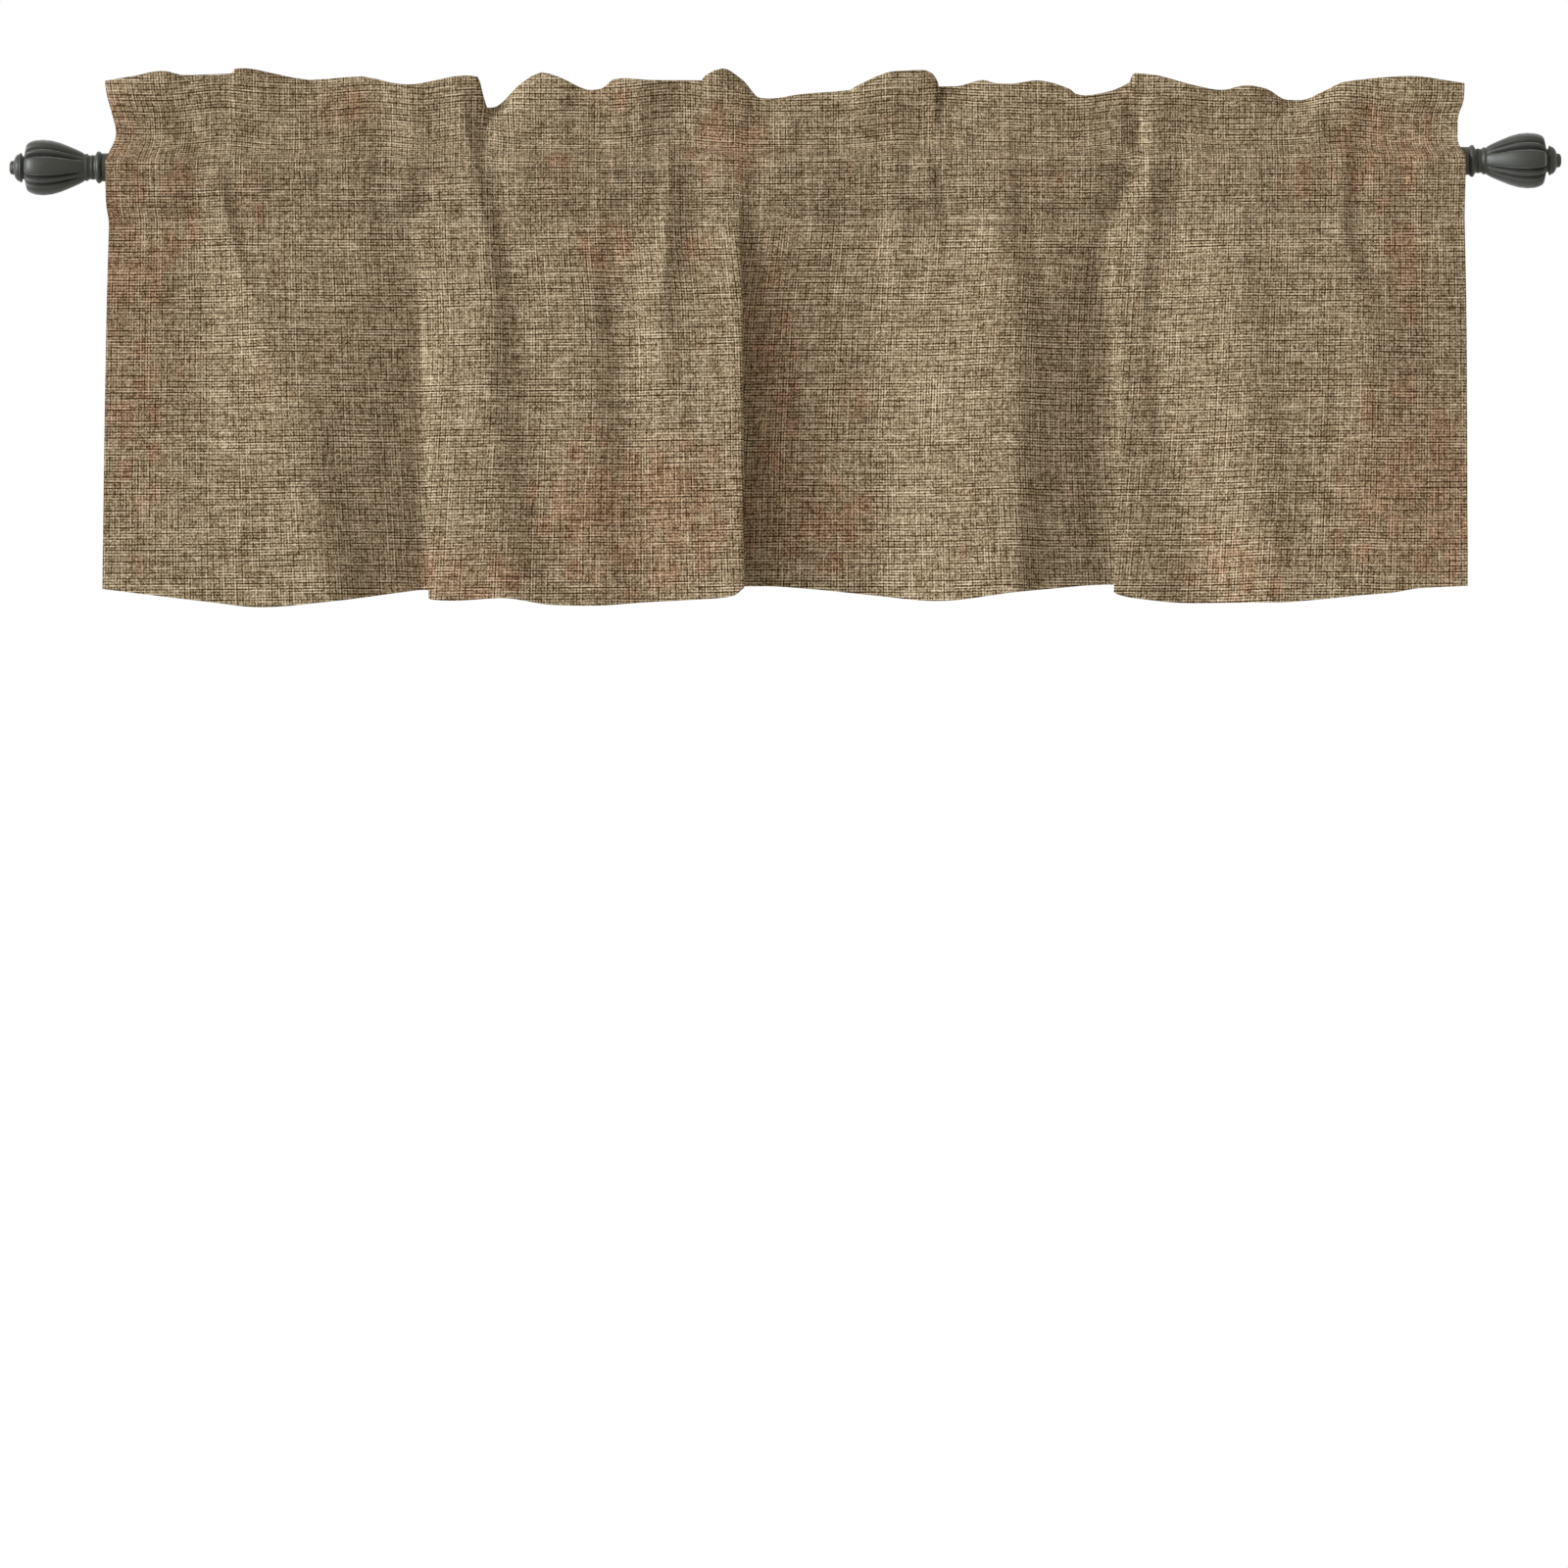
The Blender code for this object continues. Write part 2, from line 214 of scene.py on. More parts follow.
# Height of the header's stitch line along the rod
HeaderSeam = namedtuple("HeaderSeam", "x z")
HEADER_SEAM = (
    HeaderSeam(-605, 30),
    HeaderSeam(-540, 24),
    HeaderSeam(-300, 21),
    HeaderSeam(0, 20),
    HeaderSeam(605, 20),
)

# The pocket's section round the rod: the angle from straight up, the distance from the rod's axis,
# and the share of the puff between two gathers
PocketPoint = namedtuple("PocketPoint", "angle radius puff")
POCKET = (
    PocketPoint(50, 13.9, 0.0),
    PocketPoint(76, 15.6, 0.8),
    PocketPoint(100, 15.4, 0.9),
    PocketPoint(126, 15.7, 0.6),
    PocketPoint(150, 22.5, 0.3),
    PocketPoint(167, 33.0, 0.0),
)
GATHERS = (-504, -362, -277, -99, 101, 133, 307, 334, 496)

# The header's layers from their stitch line up: share of the height, and how far each bows out
HeaderPoint = namedtuple("HeaderPoint", "share bow")
HEADER = (HeaderPoint(0.0, 0.0), HeaderPoint(0.33, 1.2), HeaderPoint(0.7, 2.4))

# Creases of the header, the pocket and the panel, each from its top down. A row gives one height of the
# crease, where it lies along the rod there, how far it reaches to its left and to its right, and how far
# it stands forward (a trough is negative)
CREASES = {
    "left header pull": (
        (74, -548, 12, 26, 0),
        (50, -540, 12, 28, -3.8),
        (20, -522, 12, 20, -3.2),
        (-10, -514, 10, 10, 0),
    ),
    "left ridge start": (
        (14, -505, 8, 6, 0),
        (-14, -501, 8, 6, 3.6),
        (-50, -494, 11, 7, 4.6),
        (-110, -478, 14, 9, 3.0),
        (-190, -450, 18, 14, 0),
    ),
    "left flank": (
        (-170, -522, 80, 34, 0),
        (-220, -520, 90, 38, 2.6),
        (-290, -504, 100, 46, 5.0),
        (-395, -474, 110, 56, 6.4),
    ),
    "shoulder pull": (
        (74, -352, 7, 8, 0),
        (50, -353, 7, 8, -2.4),
        (10, -354, 8, 10, -2.0),
        (-10, -352, 12, 10, 0),
    ),
    "shoulder patch": (
        (14, -318, 30, 16, 0),
        (-6, -318, 28, 30, -6.8),
        (-34, -324, 26, 26, -6.0),
        (-62, -334, 22, 14, -1.6),
        (-110, -340, 20, 14, 0),
    ),
    "left flap lift": (
        (-190, -318, 6, 22, 0),
        (-260, -317, 6, 24, 1.8),
        (-395, -315, 6, 24, 2.4),
    ),
    "notch ridge": (
        (78, -288, 12, 6, 0),
        (46, -286, 13, 6, 3.0),
        (0, -276, 14, 6, 3.2),
        (-50, -268, 14, 7, 2.2),
        (-100, -262, 14, 8, 0),
    ),
    "notch trough": (
        (56, -275, 6, 10, 0),
        (30, -270, 6, 10, -3.2),
        (-4, -261, 6, 11, -3.6),
        (-40, -256, 7, 14, -2.6),
        (-85, -250, 8, 16, -1.6),
        (-125, -243, 10, 20, 0),
    ),
    "third header dent": (
        (72, -170, 22, 12, 0),
        (50, -168, 22, 12, -2.6),
        (22, -172, 18, 12, 0),
    ),
    "fourth header dent": (
        (76, -100, 26, 16, 0),
        (44, -96, 26, 14, -5.0),
        (14, -94, 22, 14, 0),
    ),
    "fourth ridge": (
        (24, -108, 9, 5, 0),
        (-8, -103, 10, 5, 3.0),
        (-60, -105, 13, 6, 3.6),
        (-130, -112, 16, 9, 2.6),
        (-220, -116, 20, 14, 0),
    ),
    "fourth trough": (
        (40, -76, 6, 9, 0),
        (4, -82, 6, 9, -4.0),
        (-36, -86, 6, 10, -5.0),
        (-80, -85, 7, 11, -3.4),
        (-135, -84, 8, 12, 0),
    ),
    "middle header pull": (
        (74, -34, 7, 9, 0),
        (44, -40, 7, 9, 2.6),
        (8, -50, 8, 9, 0),
    ),
    "middle lap lip": (
        (-20, -41, 9, 5, 0),
        (-60, -41, 9, 5, 1.4),
        (-330, -41, 9, 5, 1.4),
        (-385, -41, 9, 5, 0),
    ),
    "middle hollow fill": (
        (-40, -10, 20, 34, 0),
        (-110, -10, 20, 36, 3.0),
        (-300, -12, 20, 38, 4.0),
        (-395, -12, 20, 38, 4.0),
    ),
    "middle pocket dent": (
        (16, -22, 14, 12, 0),
        (-14, -24, 14, 12, -3.4),
        (-46, -26, 12, 12, 0),
    ),
    "right header dent": (
        (72, 112, 16, 18, 0),
        (44, 116, 18, 16, -4.2),
        (18, 122, 14, 12, -2.0),
        (2, 124, 12, 12, 0),
    ),
    "right pinch crest": (
        (24, 92, 9, 7, 0),
        (-4, 96, 12, 8, 1.4),
        (-40, 98, 16, 12, 2.4),
        (-90, 102, 18, 14, 2.0),
        (-150, 108, 20, 12, 0),
    ),
    "right pinch fold": (
        (20, 112, 5, 7, 0),
        (2, 110, 6, 7, -2.6),
        (-22, 104, 6, 8, -2.2),
        (-48, 98, 8, 9, 0),
    ),
    "right pinch trough": (
        (22, 130, 5, 7, 0),
        (4, 133, 6, 8, -3.2),
        (-34, 140, 6, 8, -3.4),
        (-66, 142, 7, 9, -2.2),
        (-120, 144, 8, 9, 0),
    ),
    "right pinch arm": (
        (34, 144, 6, 8, 0),
        (8, 148, 7, 9, -1.6),
        (-24, 153, 8, 10, -1.9),
        (-80, 160, 10, 14, -2.2),
        (-150, 162, 12, 16, 0),
    ),
    "right pocket crest": (
        (20, 182, 10, 14, 0),
        (-10, 184, 12, 14, 2.4),
        (-50, 186, 14, 12, 3.6),
        (-120, 190, 14, 12, 0),
    ),
    "right hollow fill": (
        (-60, 258, 50, 20, 0),
        (-120, 258, 52, 20, 4.0),
        (-395, 258, 52, 20, 4.0),
    ),
    "long diagonal": (
        (66, 312, 8, 9, 0),
        (42, 313, 9, 9, -4.2),
        (16, 313, 10, 9, -5.6),
        (-19, 302, 13, 9, -6.6),
        (-50, 292, 16, 8, -6.4),
        (-90, 281, 18, 16, -4.4),
        (-130, 272, 18, 20, 0),
    ),
    "lap ridge": (
        (10, 326, 5, 6, 0),
        (-20, 324, 6, 8, 2.4),
        (-70, 320, 8, 12, 2.2),
        (-110, 314, 9, 13, 1.6),
        (-150, 306, 10, 12, 0),
    ),
    "sixth streak": (
        (48, 352, 5, 8, 0),
        (12, 350, 6, 8, -2.6),
        (-24, 348, 6, 9, -2.0),
        (-100, 344, 6, 12, -1.2),
        (-170, 340, 8, 14, 0),
    ),
    "sixth hollow fill": (
        (-70, 336, 14, 24, 0),
        (-110, 337, 14, 26, 1.8),
        (-220, 345, 14, 30, 1.8),
        (-330, 352, 14, 34, 0),
    ),
    "seventh header dent": (
        (66, 372, 22, 20, 0),
        (44, 376, 24, 20, -3.6),
        (16, 380, 20, 20, 0),
    ),
    "seventh start": (
        (8, 402, 34, 44, 0),
        (-34, 410, 44, 52, 3.6),
        (-80, 414, 44, 54, 3.4),
        (-150, 420, 36, 50, 0),
    ),
    "eighth header pull": (
        (66, 462, 9, 9, 0),
        (42, 486, 10, 9, -3.8),
        (16, 503, 10, 8, -3.6),
        (-12, 508, 8, 7, 0),
    ),
    "eighth crease": (
        (24, 498, 9, 6, 0),
        (-6, 494, 10, 7, 2.0),
        (-50, 492, 10, 8, 1.8),
        (-100, 496, 12, 10, 1.0),
        (-150, 504, 12, 10, 0),
    ),
    "eighth trough": (
        (4, 506, 4, 9, 0),
        (-20, 503, 4, 9, -1.8),
        (-70, 503, 5, 12, -0.9),
        (-110, 508, 7, 12, 0),
    ),
    "eighth fill": (
        (-60, 530, 12, 30, 0),
        (-110, 534, 18, 34, 4.2),
        (-180, 536, 20, 38, 6.0),
        (-300, 536, 20, 38, 5.4),
        (-395, 536, 20, 36, 4.4),
    ),
    "last gather": (
        (30, 552, 10, 10, 0),
        (0, 551, 11, 9, -4.6),
        (-34, 550, 11, 9, -3.4),
        (-90, 548, 12, 12, 0),
    ),
    "last diagonal": (
        (-266, 492, 34, 16, 0),
        (-292, 530, 34, 16, 1.8),
        (-318, 568, 36, 16, 2.4),
        (-345, 612, 36, 16, 2.0),
        (-375, 640, 36, 16, 0),
    ),
}

# How steep a crease's sides are, its share on the back, and where it fades below the header's back seam
CREASE_SHARPNESS = 1.6
BACK_SHARE = 0.3
SEAM_FADE = 16.0

# Small gathers that the seams pull into the cloth: how deep they are at each height
Gather = namedtuple("Gather", "z depth")
SMALL_GATHERS = (
    Gather(-170, 0.0),
    Gather(-100, 0.5),
    Gather(-50, 1.5),
    Gather(-20, 1.8),
    Gather(20, 1.8),
    Gather(50, 1.4),
    Gather(88, 1.6),
)
GATHER_ACROSS = 0.062
GATHER_DOWN = 0.011

# Small unevenness of the hanging cloth
RIPPLE_DEPTH = 0.35
RIPPLE_ACROSS = 0.028
RIPPLE_DOWN = 0.009

# Turned-up hem and side hems, which thicken the cloth towards its back
HEM_DEPTH = 24.0
SIDE_HEM = 11.0
HEM_EDGE = 1.5
HEM_LAYERS = 2.4
HEM_SLOT = 2

# Places of the seams down the sheet, on the front and on the back, and the whole sheet: rows of points,
# where each lay on the flat cloth, each row's place down the sheet, and the seams
Seams = namedtuple("Seams", "pocket_front header_front header_back pocket_back")
Sheet = namedtuple("Sheet", "x forward z across up down seams")

# Slow unevenness of the weave: how fast it changes across and down, and its seed
Drift = namedtuple("Drift", "across down seed")
WARP_WANDER = Drift(0.04, 0.012, 1.5)
WEFT_WANDER = Drift(0.012, 0.04, 7.5)
BANDS = Drift(0.07, 0.006, 5.0)
BROAD_TONES = Drift(0.012, 0.016, 9.0)

# Dark gaps and pale slubs that run along the yarns: how fast they change across and down, their seed,
# where in the noise they start, and how strong they are at least and at most
Run = namedtuple("Run", "across down seed start least most")
WARP_GAPS = Run(3.7, 0.045, 3.0, 0.38, 0.1, 0.56)
WEFT_GAPS = Run(0.024, 4.3, 11.0, 0.38, 0.25, 0.96)
WARP_SLUBS = Run(5.3, 0.02, 17.0, 0.5, -0.08, 0.44)
WEFT_SLUBS = Run(0.03, 6.1, 19.0, 0.5, -0.08, 0.52)
RUN_END = 0.63

# One yarn: how far it wanders, the shares of its half width where its crown ends and its gap starts, and
# the strength of every other gap
YARN_WANDER = 1.2
GAP_FROM = 0.3
CROWN_TO = 0.5
ODD_YARN_SHARE = 0.45

# Tones of the weave: the middle one, those of a common yarn and of the palest slub, and what adds to them
MIDDLE_TONE = 0.64
COMMON_TONE = 0.6
SLUB_TONE = 1.3
# Painted highlight: how much paler the top of each yarn float is painted, where the crowns of both yarns meet
PAINTED_CROWN_HIGHLIGHT = 0.5
CELL_CONTRAST = 0.14
GRAIN_SIZE = 1.2
GRAIN_CONTRAST = 0.72
BAND_CONTRAST = 0.07
BROAD_CONTRAST = 0.03
CELL_SEED = 2.5
GRAIN_SEED = 13.0

# Small reddish-brown blocks of yarns: their size in yarns, how far a warm zone draws them, and from which
# random value to which one a block gets its tint
BLOCK_WARPS = 5
BLOCK_WEFTS = 7
ZONE_PULL = 0.5
TINTED_FROM = 0.93
TINTED_TO = 1.15
SHIFT_SEED = 29.0
BLOCK_SEED = 37.0

# Larger reddish-brown patches of the cloth as it hangs: the middle of each, its half width and half height,
# and its strength, which it has in full within a share of them
WarmZone = namedtuple("WarmZone", "x z across down strength")
WARM_ZONES = (
    WarmZone(-592, -140, 75, 270, 0.6),
    WarmZone(-592, -50, 40, 170, 1.0),
    WarmZone(-540, -40, 30, 70, 0.6),
    WarmZone(-475, -33, 18, 46, 0.7),
    WarmZone(-392, 50, 40, 32, 0.8),
    WarmZone(-158, 62, 38, 22, 0.7),
    WarmZone(-204, -10, 22, 36, 0.7),
    WarmZone(-158, -78, 34, 48, 0.8),
    WarmZone(-130, -310, 130, 100, 1.0),
    WarmZone(-288, -362, 95, 46, 0.8),
    WarmZone(-46, 16, 52, 52, 0.9),
    WarmZone(-76, -76, 22, 30, 0.7),
    WarmZone(-14, -190, 32, 170, 0.9),
    WarmZone(-4, -300, 60, 75, 0.9),
    WarmZone(60, -210, 22, 30, 0.8),
    WarmZone(52, -325, 48, 52, 0.8),
    WarmZone(223, -14, 42, 16, 0.6),
    WarmZone(456, -15, 28, 36, 0.7),
    WarmZone(530, 8, 64, 66, 1.0),
    WarmZone(552, -100, 30, 76, 0.8),
    WarmZone(555, -290, 100, 125, 1.0),
    WarmZone(400, -360, 90, 40, 0.6),
)
ZONE_FULL = 0.3

# Stitches, which are small beads of thread
STITCH_SIDES = 6
STITCH_RINGS = 4

# Dark metal: how fine its grain and its patches of tone are, and the tone and roughness of the patches
METAL_GRAIN = 900.0
METAL_PATCHES = 60.0
PATCH_NOISE = (0.3, 0.7)
PATCH_TONES = (0.85, 1.15)
PATCH_ROUGHNESS = (-0.05, 0.07)
METAL_RELIEF = 0.00006

# Turned profiles from the collar's inner face outwards: distance, radius, and share of the fluting
COLLAR_FACES = 1211.0
Ring = namedtuple("Ring", "reach radius flute")
COLLAR = (
    Ring(0.0, 11.9, 0),
    Ring(0.4, 12.5, 0),
    Ring(1.3, 13.3, 0),
    Ring(2.4, 14.1, 0),
    Ring(3.2, 14.3, 0),
    Ring(4.1, 14.1, 0),
    Ring(4.9, 13.2, 0),
    Ring(5.4, 12.0, 0),
    Ring(6.0, 11.0, 0),
    Ring(6.8, 10.7, 0),
    Ring(7.4, 10.7, 0),
)
FINIAL = (
    Ring(7.7, 10.7, 0),
    Ring(8.6, 11.2, 0),
    Ring(9.5, 10.7, 0),
    Ring(11.4, 10.5, 0),
    Ring(12.2, 11.0, 0),
    Ring(12.9, 11.9, 0),
    Ring(14.0, 12.2, 0),
    Ring(15.0, 11.7, 0),
    Ring(15.8, 11.9, 0.1),
    Ring(17.4, 13.2, 0.35),
    Ring(20.0, 14.6, 0.6),
    Ring(23.1, 16.1, 0.8),
    Ring(29.8, 19.1, 1),
    Ring(37.0, 22.0, 1),
    Ring(44.5, 24.1, 1),
    Ring(52.0, 24.9, 1),
    Ring(58.5, 24.5, 1.1),
    Ring(62.0, 23.6, 1.3),
    Ring(64.6, 22.4, 1.5),
    Ring(66.2, 21.2, 1.6),
    Ring(67.0, 19.6, 1.5),
    Ring(67.5, 17.4, 1.2),
    Ring(68.2, 14.6, 0.6),
    Ring(68.8, 11.4, 0),
    Ring(69.5, 10.2, 0),
    Ring(70.7, 10.2, 0),
    Ring(71.2, 12.0, 0),
    Ring(71.7, 13.1, 0),
    Ring(72.5, 13.2, 0),
    Ring(73.0, 12.6, 0),
    Ring(73.5, 12.0, 0),
    Ring(74.1, 12.2, 0),
    Ring(75.6, 11.3, 0),
    Ring(77.0, 9.6, 0),
    Ring(77.9, 7.6, 0),
    Ring(78.4, 6.3, 0),
    Ring(79.2, 6.2, 0),
    Ring(80.6, 6.1, 0),
    Ring(81.6, 5.3, 0),
    Ring(82.3, 3.4, 0),
    Ring(82.6, 0.0, 0),
)

# Flutes of the finials: crowned petals, and between two of them a pair of narrow grooves with a rib
PETALS = 5
GROOVE_DEPTH = 0.23
GROOVE_FROM_RIB = 10.0
GROOVE_HALF_WIDTH = 4.6
PETAL_CROWN = 0.022
RIB_DROP = 0.03
CLOSING_GAP = 1e-4

# Camera in front of the part and a little rolled, the side that the key light comes from, and the room
SENSOR_WIDTH = 36.0
CAMERA_X = -0.0038
CAMERA_Z = -0.5496
CAMERA_ROLL = 0.27
KEY_FROM = (-1.6, -0.76, 0.34)
WHITE = (1.0, 1.0, 1.0)


def flowing(places, values, at):
    """Values at some places of a smooth line through a table, which is level at its peaks and dips.

    Either the values are plain numbers and there may be many places, or they are rows and there is one.
    """
    places = np.asarray(places, float)
    values = np.asarray(values, float)
    gaps = np.diff(places).reshape((-1,) + (1,) * (values.ndim - 1))
    rises = np.diff(values, axis=0) / gaps
    sums = rises[:-1] + rises[1:]
    inner = np.where(
        rises[:-1] * rises[1:] > 0,
        2 * rises[:-1] * rises[1:] / np.where(sums == 0, 1.0, sums),
        0.0,
    )
    slopes = np.concatenate([rises[:1], inner, rises[-1:]])
    at = np.clip(at, places[0], places[-1])
    i = np.clip(np.searchsorted(places, at, side="right") - 1, 0, len(gaps) - 1)
    t = (at - places[i]) / gaps[i]
    ease = t * t * (3 - 2 * t)
    leaving = t * (1 - t) ** 2 * gaps[i] * slopes[i]
    arriving = t * t * (1 - t) * gaps[i] * slopes[i + 1]
    return values[i] + (values[i + 1] - values[i]) * ease + leaving - arriving


def column(table, name):
    """One named column of a table."""
    return np.array([getattr(row, name) for row in table], float)


def fold_places():
    """How far along the hem's folded line each fold lies."""
    steps = np.hypot(np.diff(column(FOLDS, "hem_x")), np.diff(column(FOLDS, "hem_forward")))
    return np.concatenate([[0.0], np.cumsum(steps)])


def panel_points(at, share):
    """Points of the panel at one share of its drop: x, forward and z for each place along the hem."""
    places = fold_places()
    drop = share * PANEL_DROP
    levels = (0.0, UPPER_PANEL, PANEL_DROP)
    upper_forward = column(FOLDS, "upper_forward")
    rows_x = np.array([column(FOLDS, "seam_x"), column(FOLDS, "upper_x"), column(FOLDS, "hem_x")])
    rows_forward = np.array([SEAM_SHARE * upper_forward, upper_forward, column(FOLDS, "hem_forward")])
    x = flowing(places, flowing(levels, rows_x, drop), at)
    forward = flowing(places, flowing(levels, rows_forward, drop), at)
    hem_z = flowing(places, column(FOLDS, "hem_z"), at)
    return x, forward, POCKET_SEAM + share * (hem_z - POCKET_SEAM)


def stations():
    """Places of the mesh's columns along the hem: one on each fold, wave and side hem, and more between."""
    places = fold_places()
    fine = np.linspace(0.0, places[-1], SEARCH_STEPS)
    waves = np.interp(column(WAVES, "x"), panel_points(fine, 0.0)[0], fine)
    hems = (HEM_EDGE, SIDE_HEM, SIDE_HEM + HEM_EDGE)
    marks = list(places)
    for mark in (*hems, *(places[-1] - hem for hem in hems), *waves):
        if np.min(np.abs(np.array(marks) - mark)) > NEAR_COLUMN:
            marks.append(mark)
    marks.sort()
    found = [0.0]
    for start, end in zip(marks, marks[1:]):
        fold = min(int(np.searchsorted(places, (start + end) / 2)), len(FOLDS) - 1)
        in_lap = "lap" in FOLDS[fold - 1].name or "lap" in FOLDS[fold].name
        count = math.ceil((end - start) / (LAP_COLUMN_WIDTH if in_lap else COLUMN_WIDTH))
        found.extend(np.linspace(start, end, count + 1)[1:])
    return np.array(found)


def spread(rod_x, z):
    """Moves the points near a side edge along the rod, so that the edge follows its outline."""
    moved = rod_x
    for name, edge in (("left", FOLDS[0].seam_x), ("right", FOLDS[-1].seam_x)):
        shift = flowing(column(SIDES, "z"), column(SIDES, name), z) - edge
        moved = moved + shift * np.exp(-(((rod_x - edge) / SIDE_REACH) ** 2))
    return moved


def pocket_puff(x):
    """How far the pocket swells at each place: not at all at a gather, and fully between two."""
    nearest = np.min(np.abs(x[:, None] - np.array(GATHERS)[None, :]), axis=1)
    return PUFF * (1 - np.exp(-((nearest / PUFF_REACH) ** 2)))


def pocket_points(at, point, side):
    """Points of the pocket's front layer (side 1) or back layer (side -1) at one angle round the rod."""
    seam_x = panel_points(at, 0.0)[0]
    radius = point.radius + point.puff * pocket_puff(seam_x)
    angle = math.radians(point.angle)
    z = radius * math.cos(angle)
    return spread(seam_x, z), side * radius * math.sin(angle), z


def header_points(at, share):
    """Points midway between the header's two layers, at one share of its height."""
    seam_x = panel_points(at, 0.0)[0]
    seam_z = flowing(column(HEADER_SEAM, "x"), column(HEADER_SEAM, "z"), seam_x)
    top_z = flowing(column(WAVES, "x"), column(WAVES, "top_z"), seam_x)
    lean = flowing(column(WAVES, "x"), column(WAVES, "forward"), seam_x)
    z = seam_z + share * (top_z - seam_z)
    return spread(seam_x, z), lean * share**LEAN_CURVE, z


def layered(points, amount):
    """Moves a row square to its own line as seen from above, forward by a positive amount."""
    x, forward, z = points
    along = np.gradient(x)
    rise = np.gradient(forward)
    length = np.hypot(along, rise)
    return x - amount * rise / length, forward + amount * along / length, z


def lowered(points, amount):
    """Moves a row down."""
    x, forward, z = points
    return x, forward, z - amount


def main_rows(at):
    """The sheet's main rows from the hem up the front, over the top fold and down the back.

    Each is a place on the sheet's section, its kind and its points.
    """
    half = STITCHED_LAYERS / 2
    rows = []
    for share in (*PANEL_ROWS, 0.0):
        rows.append(("panel", layered(panel_points(at, share), half)))
    for point in reversed(POCKET):
        rows.append(("pocket", pocket_points(at, point, 1)))
    for point in HEADER:
        rows.append(("header", layered(header_points(at, point.share), half + point.bow)))
    top = header_points(at, 1.0)
    rows.append(("fold", lowered(layered(top, FOLD_RADIUS), FOLD_RADIUS)))
    rows.append(("fold", top))
    rows.append(("back", lowered(layered(top, -FOLD_RADIUS), FOLD_RADIUS)))
    for point in reversed(HEADER):
        rows.append(("back", layered(header_points(at, point.share), -half - point.bow)))
    for point in POCKET:
        rows.append(("back", pocket_points(at, point, -1)))
    for share in SEAM_ROWS:
        rows.append(("back", layered(panel_points(at, share), -half)))
    return rows


def row_places(rows):
    """Cumulative length of the sheet's section at each main row, averaged over the columns."""
    points = np.array([row[1] for row in rows])
    steps = np.linalg.norm(np.diff(points, axis=0), axis=1).mean(axis=1)
    return np.concatenate([[0.0], np.cumsum(steps)])


def fine_places(rows, places):
    """Places of the mesh's rows: one on each main row and at the hem's fold, and more between."""
    marks = sorted({*places, HEM_EDGE, HEM_DEPTH, HEM_DEPTH + HEM_EDGE})
    found = [0.0]
    for start, end in zip(marks, marks[1:]):
        i = min(int(np.searchsorted(places, (start + end) / 2)), len(rows) - 1)
        count = math.ceil((end - start) / ROW_HEIGHTS[rows[i][0]])
        found.extend(np.linspace(start, end, count + 1)[1:])
    return np.array(found)


def crease_depths(x, z):
    """How far the creases stand forward at each point of the front."""
    total = np.zeros_like(x)
    for rows in CREASES.values():
        levels, *columns = np.array(rows[::-1], float).T
        middle, left, right, depth = (flowing(levels, values, z) for values in columns)
        away = x - middle
        inside = (z > levels[0]) & (z < levels[-1])
        share = np.abs(away) / np.where(away < 0, left, right)
        total += np.where(inside, depth * np.exp(-(share**CREASE_SHARPNESS)), 0.0)
    return total


def uneven(x, z, across, down, layer):
    """Smooth random heights from about -0.5 to 0.5 over the front of the cloth."""
    places = zip(x.ravel() * across, z.ravel() * down)
    return np.array([noise.noise(Vector((a, b, layer))) for a, b in places]).reshape(x.shape)


def ripple_depths(x, z):
    """Small gathers by the seams, and a slight unevenness that is longer down the cloth than across."""
    gathers = flowing(column(SMALL_GATHERS, "z"), column(SMALL_GATHERS, "depth"), z)
    gathers = gathers * uneven(x, z, GATHER_ACROSS, GATHER_DOWN, 3.5)
    return gathers + RIPPLE_DEPTH * uneven(x, z, RIPPLE_ACROSS, RIPPLE_DOWN, 0.5)


def off_the_rod(forward, z):
    """Keeps the pocket's layers outside the rod."""
    away = np.hypot(forward, z)
    push = np.where(away < ROD_CLEARANCE, ROD_CLEARANCE / np.maximum(away, 1.0), 1.0)
    return forward * push, z * push


def flat_places(x, forward, z, down, seams):
    """Where each point lay on the flat cloth: along its row from the left edge, and down its column.

    The level yarns run straight along the pocket's seam and, behind the top fold, along the header's.
    The upright yarns keep their places above the pocket's seam.
    """
    steps = np.hypot(np.diff(x, axis=1), np.diff(forward, axis=1))
    along = np.concatenate([np.zeros((len(x), 1)), np.cumsum(steps, axis=1)], axis=1)
    steps = np.hypot(np.diff(forward, axis=0), np.diff(z, axis=0))
    up = np.concatenate([np.zeros((1, len(x[0]))), np.cumsum(steps, axis=0)], axis=0)
    seam = int(np.argmin(np.abs(down - seams.pocket_front)))
    across = along / along[:, -1:] * FLAT_WIDTH
    across[seam:] = across[seam]
    up = up - up[seam] + seams.pocket_front
    behind = int(np.argmax(z.mean(axis=1))) + 1
    up[behind:] += seams.header_back - up[int(np.argmin(np.abs(down - seams.header_back)))]
    return across, up


